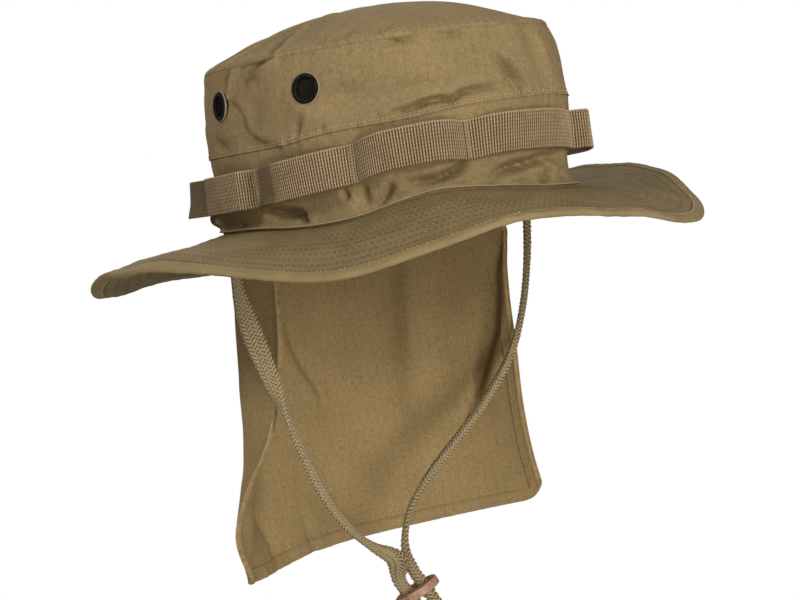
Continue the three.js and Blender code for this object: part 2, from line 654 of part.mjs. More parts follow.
// Stands a piece made about the origin where the legs run the given way, its X across them.
function standOnLegs(piece, place, way) {
  const across = acrossLegs(way);
  const facing = new THREE.Vector3().crossVectors(way, across);
  piece.quaternion.setFromRotationMatrix(new THREE.Matrix4().makeBasis(across, facing, way));
  piece.position.copy(place);
}
standOnLegs(add("leather_slider", sliderGeometry(), LEATHER, 0.55), SLIDER_MIDDLE, SLIDER_WAY);

// The knot that ties both ends together: a flattened lump, flat on top just under them.
function knotGeometry() {
  const { radius, flatness, height, waist } = KNOT;
  const rounded = steps(9, -0.2 * Math.PI, Math.PI / 2).map((turn) => {
    const low = height * (waist + (1 - waist) * Math.sin(turn));
    return new THREE.Vector2(radius * Math.cos(turn), low);
  });
  const top = rounded[0].y;
  rounded.forEach((point) => point.setY(point.y - top));
  rounded.at(-1).x = 0;
  const profile = [new THREE.Vector2(0, 0), ...rounded];
  return new THREE.LatheGeometry(profile, 18).rotateX(Math.PI / 2).scale(1, flatness, 1);
}
const knotTop = TAIL_END.clone().addScaledVector(TAIL_WAY, GAP);
standOnLegs(add("cord_knot", knotGeometry(), CORD_THREAD), knotTop, TAIL_WAY);

export default hat;
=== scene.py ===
"""A jungle hat: ripstop crown, stitched brim, webbing band, neck flap and braided chin cord.

Inside the classes lengths are millimetres; meshes are made in metres. +Z is up, the wearer looks
along -Y and the wearer's right is -X. A place around the hat is an angle in degrees: 0 is the
front, 90 the wearer's right, 180 the back and -90 the wearer's left.
"""

import logging
import math
from dataclasses import dataclass, field, replace
from enum import Enum
from functools import partial
from typing import Callable, Sequence

import bmesh
import bpy
import numpy as np
from mathutils import Matrix, Vector


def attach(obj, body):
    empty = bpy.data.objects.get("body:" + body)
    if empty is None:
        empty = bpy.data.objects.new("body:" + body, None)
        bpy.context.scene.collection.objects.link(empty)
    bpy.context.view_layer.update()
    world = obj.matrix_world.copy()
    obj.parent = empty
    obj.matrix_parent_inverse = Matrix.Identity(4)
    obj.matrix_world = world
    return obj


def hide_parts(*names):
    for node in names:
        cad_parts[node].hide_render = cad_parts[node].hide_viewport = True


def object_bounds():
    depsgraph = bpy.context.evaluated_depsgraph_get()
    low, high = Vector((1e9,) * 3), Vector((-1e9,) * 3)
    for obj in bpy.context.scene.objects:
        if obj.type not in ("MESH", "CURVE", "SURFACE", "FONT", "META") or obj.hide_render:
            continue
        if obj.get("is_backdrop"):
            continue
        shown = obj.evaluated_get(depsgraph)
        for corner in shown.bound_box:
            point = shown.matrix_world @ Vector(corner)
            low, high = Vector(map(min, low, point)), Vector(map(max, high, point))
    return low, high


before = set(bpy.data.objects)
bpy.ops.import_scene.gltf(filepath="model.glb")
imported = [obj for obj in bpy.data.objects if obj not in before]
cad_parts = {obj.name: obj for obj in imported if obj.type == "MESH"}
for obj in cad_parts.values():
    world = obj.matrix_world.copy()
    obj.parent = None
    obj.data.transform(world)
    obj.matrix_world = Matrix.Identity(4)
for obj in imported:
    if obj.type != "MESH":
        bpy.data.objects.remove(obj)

LOG = logging.getLogger("jungle_hat")
Array = np.ndarray
Surface = Callable[[Array, Array], Array]
Colour = tuple[float, float, float]
Socket = bpy.types.NodeSocket
MM = 0.001
TURN = 360.0
HALF_TURN = 180.0
# A ripple with this wave runs only around the hat, not along its second coordinate.
ENDLESS = 1e9
UV_NAME = "cloth"


class Slot(Enum):
    """The record's material slots."""

    CROWN = "crown_ripstop"
    BRIM = "brim_cloth"
    WEBBING = "webbing"
    FLAP = "flap_ripstop"
    CORD = "cord_braid"
    SLIDER = "slider_leather"
    METAL = "blackened_metal"
    SCREEN = "eyelet_mesh"


class Side(Enum):
    """The wearer's sides, as the sign of X."""

    RIGHT = -1
    LEFT = 1


# ------------------------------------------------------------------------------------------------
# Numbers, curves and creases


def smooth(x: Array) -> Array:
    """An even step from 0 to 1 as x goes from 0 to 1."""
    t = np.clip(x, 0.0, 1.0)
    return t * t * (3.0 - 2.0 * t)


def unit(vectors: Array) -> Array:
    """The vectors at length one."""
    return vectors / np.maximum(np.linalg.norm(vectors, axis=-1, keepdims=True), 1e-12)


def joined(*parts: Array) -> Array:
    """Coordinates put together as points."""
    return np.stack(np.broadcast_arrays(*parts), axis=-1)


def travelled(line: Array) -> Array:
    """The distance along a line at each of its points."""
    return np.append(0.0, np.cumsum(np.linalg.norm(np.diff(line, axis=0), axis=1)))


def resampled(line: Array, marks: Array) -> Array:
    """The points that lie at these distances along a line."""
    reach = travelled(line)
    return joined(*(np.interp(marks, reach, column) for column in line.T))


def full_turn(columns: int) -> Array:
    """Angles evenly spaced around the hat, from its back."""
    return np.linspace(-HALF_TURN, HALF_TURN, columns, endpoint=False)


def away(angle: Array, place: float) -> Array:
    """How far each angle is from a place around the hat, from -180 to 180."""
    return np.mod(angle - place + HALF_TURN, TURN) - HALF_TURN


def bell(x: Array, middle: float, wide: float) -> Array:
    """A smooth hump of height 1 around a middle."""
    return np.exp(-(((x - middle) / wide) ** 2))


def fold(x: Array, y: Array, lean: float, long: float, wide: float, push: float) -> Array:
    """A broad, soft fold around the origin.

    Args:
        x: The cloth's first coordinate, in millimetres from the fold's middle.
        y: The second coordinate.
        lean: How far the fold leans from the level, in degrees.
        long: Half its length.
        wide: Half its width.
        push: How far it stands out.

    Returns:
        The distances moved outwards.
    """
    turn = math.radians(lean)
    along = (x * math.cos(turn) + y * math.sin(turn)) / long
    beside = (y * math.cos(turn) - x * math.sin(turn)) / wide
    return push * np.exp(-along * along - beside * beside)


@dataclass(frozen=True)
class Table:
    """Rows of a place and its values, read as smooth curves, which may close after a turn."""

    rows: tuple[tuple[float, ...], ...]
    closed: bool = True

    def read(self, place: Array, column: int = 1) -> Array:
        """Reads one column between the rows.

        Args:
            place: Where to read.
            column: Which value to read.

        Returns:
            The values there.
        """
        keys = np.array([row[0] for row in self.rows], float)
        values = np.array([row[column] for row in self.rows], float)
        place = np.asarray(place, float)
        if self.closed:
            x = keys[0] + np.mod(place - keys[0], TURN)
            index = np.searchsorted(keys[1:], x, side="left")
            keys = np.concatenate([[keys[-1] - TURN], keys, keys[:2] + TURN])
            values = np.concatenate([[values[-1]], values, values[:2]])
        else:
            x = np.clip(place, keys[0], keys[-1])
            index = np.searchsorted(keys[1:-1], x, side="left")
            keys = np.concatenate([keys[:1], keys, keys[-1:]])
            values = np.concatenate([values[:1], values, values[-1:]])
        x0, x1, x2, x3 = (keys[index + step] for step in range(4))
        y0, y1, y2, y3 = (values[index + step] for step in range(4))
        span = x2 - x1
        t = (x - x1) / span
        start = span * (y2 - y0) / (x2 - x0) * t * (1 - t) ** 2
        end = span * (y3 - y1) / (x3 - x1) * t * t * (t - 1)
        return y1 + (y2 - y1) * t * t * (3 - 2 * t) + start + end


@dataclass(frozen=True)
class Crease:
    """A crease pressed into cloth: a line that stands out by push, its left side higher by step."""

    points: tuple[tuple[float, float], ...]
    wide: float
    push: float
    step: float = 0.0
    # How many widths away it still moves the cloth, and how many points each span's curve has.
    reach: float = 3.2
    fineness: int = 4

    def line(self, scale: float) -> Array:
        """The crease's smooth line, its first coordinate scaled to millimetres."""
        knots = np.array(self.points, float) * (scale, 1.0)
        if len(knots) < 3:
            return knots
        padded = np.vstack([2 * knots[0] - knots[1], knots, 2 * knots[-1] - knots[-2]])
        t = np.arange(self.fineness)[:, None] / self.fineness
        spans = [
            0.5 * (2 * b + (c - a) * t + (2 * a - 5 * b + 4 * c - d) * t**2 + (3 * b - a - 3 * c + d) * t**3)
            for a, b, c, d in zip(padded, padded[1:], padded[2:], padded[3:])
        ]
        return np.vstack(spans + [knots[-1:]])

    def lift(self, x: Array, y: Array, scale: float, period: float) -> Array:
        """How far the crease moves each point of the cloth.

        Args:
            x: The first coordinate of the points, in millimetres.
            y: The second coordinate.
            scale: Millimetres for each unit of the crease's first coordinate.
            period: The length after which x closes on itself, or 0.

        Returns:
            The distances moved outwards.
        """
        line = self.line(scale)
        x, y = np.broadcast_arrays(x - line[0, 0], y)
        if period:
            x = np.mod(x + period / 2, period) - period / 2
        line = line - (line[0, 0], 0.0)
        reach = self.reach * self.wide
        low, high = line.min(0) - reach, line.max(0) + reach
        near = (x > low[0]) & (x < high[0]) & (y > low[1]) & (y < high[1])
        moved = np.zeros(x.shape)
        if not near.any():
            return moved
        px, py = x[near], y[near]
        best = np.full(px.shape, np.inf)
        side, along = np.zeros(px.shape), np.zeros(px.shape)
        spans = len(line) - 1
        for index in range(spans):
            (ax, ay), (bx, by) = line[index], line[index + 1]
            dx, dy = bx - ax, by - ay
            t = np.clip(((px - ax) * dx + (py - ay) * dy) / (dx * dx + dy * dy + 1e-9), 0, 1)
            ex, ey = px - ax - t * dx, py - ay - t * dy
            square = ex * ex + ey * ey
            closer = square < best
            best = np.where(closer, square, best)
            side = np.where(closer, np.sign(dx * ey - dy * ex), side)
            along = np.where(closer, (index + t) / spans, along)
        distance = np.sqrt(best) / self.wide
        fade = np.clip(np.sin(np.pi * np.clip(along, 0.03, 0.97)), 0, 1) ** 0.6
        ridge = self.push * np.exp(-distance * distance)
        shelf = self.step * side * np.tanh(distance * 1.6) * np.exp(-((distance / 2.2) ** 2))
        moved[near] = (ridge + shelf) * fade
        return moved


def creased(creases: Sequence[Crease], x: Array, y: Array, scale: float = 1.0, period: float = 0.0) -> Array:
    """The sum of several creases' lifts, each as Crease.lift gives it."""
    return sum((crease.lift(x, y, scale, period) for crease in creases), np.zeros(np.broadcast(x, y).shape))


@dataclass(frozen=True)
class Strewing:
    """Creases strewn over a stretch of cloth, the same for the same seed.

    The stretch spans xs and ys. The creases' lengths and widths lie within their limits, push is the deepest one.
    """

    seed: int
    count: int
    xs: tuple[float, float]
    ys: tuple[float, float]
    long: tuple[float, float]
    wide: tuple[float, float]
    push: float
    steepest: float = 75.0
    inward_share: float = 0.72

    def creases(self, scale: float = 1.0) -> tuple[Crease, ...]:
        """Strews the creases.

        Args:
            scale: Millimetres for each unit of the first coordinate.

        Returns:
            The creases.
        """
        pick = np.random.default_rng(self.seed)
        creases = []
        for _ in range(self.count):
            middle = np.array([pick.uniform(*self.xs), pick.uniform(*self.ys)])
            lean = math.radians(pick.uniform(-self.steepest, self.steepest))
            half = pick.uniform(*self.long) / 2
            way = np.array([math.cos(lean) / abs(scale), math.sin(lean)]) * half
            bow = np.array([-way[1] / abs(scale), way[0] * abs(scale)]) * pick.uniform(-0.35, 0.35)
            points = tuple(map(tuple, (middle - way, middle + bow, middle + way)))
            size = -self.push * pick.uniform(0.35, 1.0) * (1 if pick.random() < self.inward_share else -0.8)
            creases.append(Crease(points, pick.uniform(*self.wide), size, pick.uniform(-0.3, 0.3) * self.push))
        return tuple(creases)


@dataclass(frozen=True)
class Ripple:
    """Low, uneven waves that close up around the hat.

    Turns are the fewest and most waves around, wave is the shortest one along the second coordinate.
    """

    height: float
    seed: int
    turns: tuple[int, int]
    wave: float = ENDLESS
    waves: int = 9
    usual_peak: float = 4.2

    def at(self, angle: Array, y: Array = 0.0) -> Array:
        """Reads the waves.

        Args:
            angle: The angle around the hat.
            y: The second coordinate, in millimetres.

        Returns:
            Their heights, about as far each way as the ripple's own.
        """
        pick = np.random.default_rng(self.seed)
        total = np.zeros(np.broadcast(angle, y).shape)
        for _ in range(self.waves):
            around = pick.integers(*self.turns)
            phase = pick.uniform(0, 2 * np.pi)
            total += np.sin(np.radians(angle) * around + y * 2 * np.pi * pick.uniform(-1, 1) / self.wave + phase)
        return self.height * (total / self.usual_peak)


# ------------------------------------------------------------------------------------------------
# The hat's shape


@dataclass(frozen=True)
class HatForm:
    """The hat's surfaces, which every piece is laid on."""

    # The oval's half width and half length at the crown's foot.
    half_side: float = 83.0
    half_front: float = 100.0
    # The top panel's half width and half length at its seam.
    top_side: float = 83.0
    top_front: float = 97.0
    # The crown's cloth, and the gap between pieces that lie on each other.
    cloth: float = 1.6
    gap: float = 0.3
    # The top panel's seam, how far its middle rises above it, and how full it is towards its edge.
    top_seam: float = 83.0
    rise: float = 21.6
    fullness: float = 2.15
    # Millimetres of cloth to a degree around the crown.
    per_degree: float = math.pi * 183.0 / TURN
    eyelet_height: float = 65.2
    # The cloth lies flat up to this far from an eyelet's middle, and is slack again after the second distance.
    eyelet_flat: float = 7.6
    eyelet_ease: float = 2.2
    eyelet_angles: tuple[float, ...] = (71.0, 109.0, -71.0, -109.0)
    # By height, how far the crown's oval is grown.
    profile: Table = Table(((-12, 0.4), (0, 0.5), (22, 0.8), (42, 2.2), (56, 1.6), (74, 0.0), (83, -3.4)), False)
    # By angle, the heights of the brim's and the band's seams, and the height and the reach of the brim's edge.
    brim_seam: Table = Table(((-150, 0), (-60, -0.5), (-6, 0.8), (14, 3.7), (35, 6.2), (48, 3.0), (60, -1.2),
                              (76, -2.6), (100, -0.4)))
    band_seam: Table = Table(((-150, 40.5), (-90, 43), (-27, 46.8), (20, 46.6), (44, 43.5), (64, 42.7), (83, 40),
                              (138, 40.5)))
    brim_edge: Table = Table((
        (-150, -20, 63), (-120, -4, 62), (-95, 9, 62), (-82, 9.5, 62.5), (-63, 2, 63), (-45, -13.5, 61.5),
        (-19, -23.5, 62), (3, -15, 63), (24, -10, 65), (43, -20, 66), (56, -25, 66), (68, -20.6, 66), (80, -13.8, 66),
        (87, -9.2, 66.8), (93, -6.9, 67.5), (98, -8.2, 68.2), (103, -11.3, 68.9), (108, -14.6, 69.8),
        (113, -17.1, 70.8), (121, -19.9, 71.8), (130, -23.7, 72.0), (139, -25.8, 71.4), (148, -25.8, 70.6),
        (158, -23.6, 69.5), (170, -20.8, 67.9), (185, -21, 66)))
    # The share of the brim's fall that comes late, towards its edge.
    brim_droop: float = 0.45
    # How much deeper the folds and the placed creases are than their rows say.
    fold_depth: float = 1.5
    crease_depth: float = 1.9
    # How far the brim's edge is turned up, and how far the cloth inside it swells up, broadly and near the edge.
    brim_curl: Table = Table((
        (-100, 0, 0, 0), (60, 0, 0, 0), (74, -0.6, 0, 0), (80, -1.4, 0, 0), (87, -3.5, 0, 0), (93, -4.0, 0.2, 0.4),
        (98, -2.4, 0.6, 0.8), (103, 0.2, 1.0, 1.9), (108, 3.3, 1.2, 3.3), (113, 6.0, 0.8, 3.6), (118, 6.2, 0, 1.8),
        (124, 5.6, -1.4, 0), (130, 4.8, -2.6, -0.4), (139, 3.6, -3.4, -0.4), (148, 2.8, -3.4, 0), (158, 1.9, -2.6, 0),
        (170, 0.6, -1, 0), (184, 0, 0, 0)))
    # Broad dents: angle, height, lean from the level, half length, half width, push.
    folds: tuple[tuple[float, ...], ...] = (
        (103, 74, 88, 12, 5, -1.8), (92, 55, -50, 12, 5, -1.2), (70, 52, 35, 10, 5, 0.9), (-8, 72, 80, 16, 6, -1.2),
        (44, 9, 42, 18, 5, 1.8), (58, 10, 75, 8, 4, -1.6), (80, 8, -12, 13, 4, -1.5), (5, 13, 35, 12, 4, -1.3),
        (-18, 9, 50, 8, 4, -1.2), (150, 62, 70, 16, 7, -1.4), (-70, 12, -30, 14, 5, -1.4), (-120, 60, 60, 15, 7, -1.3),
        (-160, 10, 25, 15, 5, -1.4), (140, 10, 0, 26, 7, 4.2), (-40, 13, 0, 20, 7, -3.2), (128, 88, 0, 26, 6.5, 6.0),
        (15, 62, 20, 22, 9, -1.0), (70, 70, 80, 18, 8, -0.8))
    dome_folds: tuple[tuple[float, ...], ...] = (
        (-48, 0.82, 42, 0.24, -2.3), (84, 0.78, 13, 0.3, -1.6), (62, 0.7, 12, 0.3, 1.2))
    side_creases: tuple[Crease, ...] = (
        Crease(((104, 87), (103, 80), (102.5, 74.5), (103.2, 69.5), (104.5, 65), (105, 59)), 1.5, 1.1, 2.0),
        Crease(((107, 80), (107, 73), (108, 66)), 3.4, -1.3),
        Crease(((93.5, 74), (92, 75.3), (89, 77.2), (86.5, 79), (83.5, 81.5), (80, 85)), 1.4, 2.2, -1.3),
        Crease(((97, 75), (92, 79), (88, 82), (84, 86)), 2.8, -1.4),
        Crease(((99.6, 79.8), (95, 82), (91, 82.5)), 1.4, -1.0),
        Crease(((102.5, 66), (101, 63), (98.2, 60), (97, 56), (96.5, 52), (95, 47.5), (90, 43.5), (84, 40.5)),
               2.4, -1.7, 1.3),
        Crease(((116, 48), (112, 44.5), (106, 43)), 3.4, -1.5),
        Crease(((73.2, 52), (74, 48.5), (75, 45), (75.3, 42)), 1.5, -1.3, 0.4),
        Crease(((66, 47), (67, 44.5), (67.5, 42)), 1.3, -1.0),
        Crease(((67, 58), (60, 59.5), (52, 58.7)), 5, -1.3),
        Crease(((48, 84), (41, 80.5), (34, 83.5)), 1.7, -1.8),
        Crease(((30, 84), (24, 80.5), (17, 83.5)), 2.0, -1.4),
        Crease(((50, 54), (44, 56.5), (37, 57.8), (30, 55.5), (22, 57)), 4.2, -1.2),
        Crease(((46, 47), (42, 48), (37.5, 49.6), (31, 51), (27.5, 49.7), (24.5, 52.3), (17, 53.6), (8, 53.6)),
               1.8, -2.6, 1.1),
        Crease(((9.5, 68), (6.5, 64), (3, 59), (0.4, 54.5), (-0.8, 48)), 2.0, -2.6, 1.2),
        Crease(((8, 60), (5, 55), (4.5, 50)), 1.6, -1.0),
        Crease(((-10.5, 84), (-12.5, 76), (-14, 66), (-16.5, 54), (-17, 48)), 2.2, 0.5, -1.9),
    )
    band_creases: tuple[Crease, ...] = (
        Crease(((94.8, 10.3), (87, 8.5), (80, 6.4), (77.7, 2), (76.5, -1)), 2.0, -2.4, 0.8),
        Crease(((92, 14), (84, 12.5), (74, 10)), 2.6, 1.4),
        Crease(((108, 0.6), (106, 3), (104, 5)), 1.2, -1.3),
        Crease(((104, 0.6), (106, 3), (108, 6)), 1.2, -1.0),
        Crease(((63.7, 15), (62.6, 9.6)), 1.6, -1.9),
        Crease(((57.4, 15), (57.0, 10), (56.6, 8)), 1.7, -1.5),
        Crease(((55.4, 3.5), (53, 6), (49.8, 12), (48.7, 15)), 1.9, -2.0, 0.7),
        Crease(((45.3, 13.3), (36, 13.7), (31.4, 16), (27, 18.4), (24.8, 21)), 1.7, -2.8, 0.9),
        Crease(((45.3, 17.3), (38, 17.7), (32.4, 20)), 2.4, 1.5),
        Crease(((40, 10), (30, 11), (22, 14)), 2.6, 1.2),
        Crease(((18.4, 10), (12.8, 14.3), (2, 16), (-6.7, 17.4), (-17.7, 17.5)), 2.3, -3.2, 0.9),
        Crease(((15, 6), (6, 10.5), (-6, 12)), 3.0, 1.5),
        Crease(((-7.7, 12.4), (-7.6, 8), (-2, 3.8)), 1.6, -2.4, 0.9),
        Crease(((-18.5, 9), (-16, 7), (-14.6, 4.9)), 1.5, -2.0),
        Crease(((34, 9.5), (33, 6), (35, 3.5)), 2.2, -0.9),
    )
    dome_creases: tuple[Crease, ...] = (
        Crease(((81.5, 1.0), (83.6, 0.65), (70, 0.58), (59.7, 0.59)), 2.6, 2.8, -1.2),
        Crease(((86, 1.04), (85, 0.91), (87, 0.75), (89.4, 0.57)), 2.2, -3.0, 0.8),
        Crease(((107, 1.04), (102.8, 0.86), (97, 0.66), (94, 0.45)), 2.2, -2.8, 0.9),
        Crease(((75, 0.78), (67, 0.9), (60, 0.92), (52, 0.84)), 2.4, -2.4, 0.6),
        Crease(((124, 1.0), (118, 0.86), (108, 0.7)), 2.4, -2.0, 0.8),
        Crease(((49, 1.02), (44, 0.9), (39, 0.81)), 3.2, -2.0),
        Crease(((70, 1.02), (66, 0.9), (62, 0.8)), 2.6, -1.0),
    )
    strewn: tuple[Strewing, ...] = (
        Strewing(11, 20, (125, 335), (46, 78), (12, 30), (1.8, 3.6), 0.8),
        Strewing(12, 34, (100, 350), (3, 19), (8, 24), (1.5, 2.8), 1.3),
        Strewing(13, 9, (-10, 105), (48, 79), (10, 22), (2.5, 4.5), 0.45))
    dome_strewn: Strewing = Strewing(31, 9, (-55, 60), (-70, 75), (25, 60), (3, 6), 1.0)
    slack: Ripple = Ripple(0.5, 21, (4, 17), 60)
    fine_slack: Ripple = Ripple(0.12, 22, (30, 70), 14)
    dome_slack: Ripple = Ripple(0.35, 32, (2, 7), 90)
    brim_slack: Ripple = Ripple(0.35, 41, (8, 26), 70)
    pucker: Ripple = Ripple(1.0, 23, (50, 120))

    def oval(self, angle: Array, spread: Array, outwards: Array, height: Array) -> Array:
        """Points on an oval with the head's proportions.

        Args:
            angle: The angle around the hat.
            spread: How far the oval is grown.
            outwards: How far the points stand out square to it.
            height: Their heights.

        Returns:
            The points.
        """
        sin, cos = np.sin(np.radians(angle)), np.cos(np.radians(angle))
        side, front = self.half_side + spread, self.half_front + spread
        slope = np.hypot(sin / side, cos / front)
        x = -side * sin - outwards * sin / side / slope
        y = -front * cos - outwards * cos / front / slope
        return joined(x, y, height)

    def fine_push(self, angle: Array, height: Array) -> Array:
        """The fine creases and the slack of the crown's side and band."""
        wrap = {"scale": -self.per_degree, "period": TURN * self.per_degree}
        strewn = [crease for strewing in self.strewn for crease in strewing.creases(self.per_degree)]
        place = -np.asarray(angle, float) * self.per_degree
        push = self.crease_depth * creased(self.side_creases + self.band_creases, place, height, **wrap)
        push += creased(strewn, place, height, **wrap)
        push += self.slack.at(angle, height) + self.fine_slack.at(angle, height)
        near = np.zeros(np.shape(push))
        for eyelet in self.eyelet_angles:
            off = np.hypot(away(angle, eyelet) * self.per_degree, height - self.eyelet_height)
            near = np.maximum(near, 1 - smooth((off - self.eyelet_flat) / self.eyelet_ease))
        pucker = 0.45 * self.pucker.at(angle)
        close = np.exp(-np.abs(height - self.top_seam) / 3.5)
        close = close + np.exp(-np.abs(height - self.band_seam.read(angle)) / 3)
        return push * (1 - near) + pucker * close

    def crown_push(self, angle: Array, height: Array) -> Array:
        """How far the crown's cloth stands out, dying away at its top seam and at the brim."""
        broad = np.zeros(np.broadcast(angle, height).shape)
        for place, level, *shape in self.folds:
            broad += fold(away(angle, place) * self.per_degree, height - level, *shape)
        above = height - self.brim_seam.read(angle) - 2.0
        # The broad folds die away over 10 mm at the top seam and 5 mm above the brim, the fine ones over 4 and 3 mm.
        held = np.clip((self.top_seam + 5 - height) / 10, 0, 1) * np.clip(above / 5, 0, 1)
        fine = np.clip((self.top_seam + 2 - height) / 4, 0.4, 1) * np.clip(above / 3, 0, 1)
        return self.fold_depth * broad * held + self.fine_push(angle, height) * fine

    def crown(self, angle: Array, height: Array, outwards: Array = 0.0) -> Array:
        """Points of the crown's outer face, or moved outwards from it."""
        spread = self.profile.read(height)
        return self.oval(angle, spread, outwards + self.crown_push(angle, height), height)

    def dome(self, angle: Array, out: Array, lift: Array) -> Array:
        """Points of the top panel, from its middle (out 0) to its seam (out 1)."""
        edge = self.crown_push(angle, np.full(np.shape(angle), self.top_seam)) * smooth((out - 0.4) / 0.6)
        rim = self.oval(angle, self.profile.read(self.top_seam), edge, 0.0 * out) * np.expand_dims(out, -1)
        push = np.zeros(np.broadcast(angle, out).shape)
        for place, middle, around, wide, amount in self.dome_folds:
            across = away(angle, place) / around
            push += amount * np.exp(-across * across - ((out - middle) / wide) ** 2)
        flat = [
            replace(crease, points=tuple((-self.top_side * share * math.sin(math.radians(turn)),
                                          -self.top_front * share * math.cos(math.radians(turn)))
                                         for turn, share in crease.points))
            for crease in self.dome_creases
        ]
        push += creased(flat + list(self.dome_strewn.creases()), rim[..., 0], rim[..., 1])
        push += self.dome_slack.at(angle, out * 80) * smooth(out * 2)
        slack = np.clip((1 - out) * 14, 0, 1) * np.clip(out * 4, 0, 1)
        pucker = 0.6 * self.pucker.at(angle) * np.exp(-(1 - out) * 22) * np.clip((1 - out) * 60, 0, 1)
        rim[..., 2] = self.top_seam + lift + self.rise * (1 - out**self.fullness) + push * slack + pucker
        return rim

    def brim(self, angle: Array, out: Array, lift: Array = 0.0) -> Array:
        """Points of the brim's middle layer, from the crown (out 0) to its edge (out 1)."""
        fall = (1 - self.brim_droop) * out + self.brim_droop * out * out
        height = self.brim_seam.read(angle) * (1 - fall) + self.brim_edge.read(angle) * fall
        height = height + self.brim_slack.at(angle, out * 60) * smooth(out * 3)
        # The turned-up edge, then the two swellings inside it, each between shares of the brim's reach.
        turned = smooth((out - 0.8) / 0.24) / smooth(0.2 / 0.24)
        broad = smooth((out - 0.15) / 0.4) * (1 - smooth((out - 0.75) / 0.25))
        close = smooth((out - 0.48) / 0.34) * (1 - smooth((out - 0.82) / 0.18))
        for column, swell in enumerate((turned, broad, close), 1):
            height = height + self.brim_curl.read(angle, column) * swell
        reach = self.brim_edge.read(angle, 2) * out
        return self.oval(angle, 0.5 + self.gap, reach, height + lift)


@dataclass(frozen=True)
class FlapForm:
    """The neck flap's surface."""

    half_width: float = 106.0
    # The cloth is longer than the arc's half width by these factors, as the folds and as the hem measure it.
    fold_scale: float = 1.25
    hem_scale: float = 1.3
    # How far back the hem's arc reaches at its ends and in its middle.
    edge: float = 27.0
    back: float = 90.0
    length: float = 172.0
    reach: float = 87.0
    top: float = -1.2
    inset: float = 1.6
    cloth: float = 1.3
    hem_cloth: float = 2.4
    hem: float = 7.0
    # By drop, how far the right and the left edge have come from the crown towards the hem's arc.
    spread: Table = Table(((0, 0, 0), (24, 0.0, 0.02), (62, 0.12, 0.11), (100, 0.44, 0.42), (126, 0.9, 0.74),
                           (148, 1.15, 0.93), (172, 1.01, 0.95)), False)
    # Folds: across, drop, lean from the level, half length, half width, push.
    folds: tuple[tuple[float, ...], ...] = (
        (-0.72, 72, 90, 55, 26, 3.5), (0.55, 60, 84, 62, 9, -5), (-0.2, 70, 80, 45, 8, 2.5),
        (-0.62, 140, 60, 22, 9, -3), (0.1, 140, 88, 40, 16, 3), (-0.34, 112, 80, 60, 14, 3.0),
        (1, 116, 90, 42, 30, -5), (1, 172, 90, 18, 22, 3.4))
    creases: tuple[Crease, ...] = (
        Crease(((0.99, -20), (0.93, -38), (0.92, -54), (0.89, -71), (0.85, -82), (0.8, -98), (0.75, -112)),
               5.4, 9.0, -5.2),
        Crease(((-0.03, -50), (-0.01, -62), (0.04, -76), (0.09, -87), (0.1, -97), (0.02, -104)), 4.6, 4.2, 1.8),
        Crease(((-0.62, -132), (-0.52, -140), (-0.43, -150), (-0.4, -158), (-0.39, -170)), 4.0, 2.8, 0.8),
        Crease(((-0.14, -150), (-0.11, -160), (-0.1, -168), (-0.08, -176)), 3.4, 2.6, -1.4),
        Crease(((-0.3, -158), (-0.29, -170)), 2.2, 0.8),
    )
    strewn: Strewing = Strewing(51, 16, (-115, 115), (-165, -20), (18, 55), (3.5, 8), 0.8)
    slack: Ripple = Ripple(0.5, 52, (2, 9), 110)
    pucker: Ripple = Ripple(0.4, 53, (40, 90))

    @property
    def half_cloth(self) -> float:
        """Half the cloth's width, in millimetres."""
        return self.half_width * self.hem_scale

    def place(self, across: Array, drop: Array, outwards: Array = 0.0) -> Array:
        """Points of the flap's middle layer.

        Args:
            across: From the wearer's right edge (-1) to the left one (1).
            drop: How far down the cloth.
            outwards: How far the points stand out.

        Returns:
            The points.
        """
        radius = (self.half_width**2 + (self.back - self.edge) ** 2) / (2 * (self.back - self.edge))
        swing = math.asin(self.half_width / radius) * across
        hem = joined(radius * np.sin(swing), self.back - radius * (1 - np.cos(swing)), 0.0)
        top = FORM.oval(180 + self.reach * across, 0.5, -self.inset, 0.0)
        right, left = self.spread.read(drop, 1), self.spread.read(drop, 2)
        share = right + (left - right) * (0.5 + 0.5 * across)
        point = top + (hem - top) * np.expand_dims(share, -1)
        half = np.pi / 2 * across
        facing = joined(np.sin(half), np.cos(half), 0.0)
        push = np.zeros(np.broadcast(across, drop).shape)
        scale = self.half_width * self.fold_scale
        sideways = across * scale
        for middle, level, *shape in self.folds:
            push += fold(sideways - middle * scale, level - drop, *shape)
        push += creased(self.creases, sideways, -drop, scale) + creased(self.strewn.creases(), sideways, -drop)
        push += self.slack.at(across * 90, drop) * smooth(drop / 30)
        push += self.pucker.at(across * 90) * np.exp(-(self.length - drop) / 6)
        point = point + facing * np.expand_dims(outwards + push * smooth(drop / 8), -1)
        # The lower edge hangs deeper in its middle and right of it, and is a little higher at its left end.
        lowered = 5.7 * (1 - across * across) - 1.4 * (0.5 + 0.5 * across) + 3.9 * bell(across, -0.52, 0.3)
        point[..., 2] = self.top - drop * (1 + lowered / self.length)
        return point


FORM = HatForm()
FLAP = FlapForm()


# ------------------------------------------------------------------------------------------------
# Meshes

NO_FANS = np.zeros((0, 3), int)


def linked(name: str, data: bpy.types.ID) -> bpy.types.Object:
    """A new object, linked to the scene."""
    piece = bpy.data.objects.new(name, data)
    bpy.context.scene.collection.objects.link(piece)
    return piece


def evaluated(piece: bpy.types.Object) -> bpy.types.Mesh:
    """A new mesh of the piece as its modifiers leave it."""
    graph = bpy.context.evaluated_depsgraph_get()
    return bpy.data.meshes.new_from_object(piece.evaluated_get(graph), depsgraph=graph)


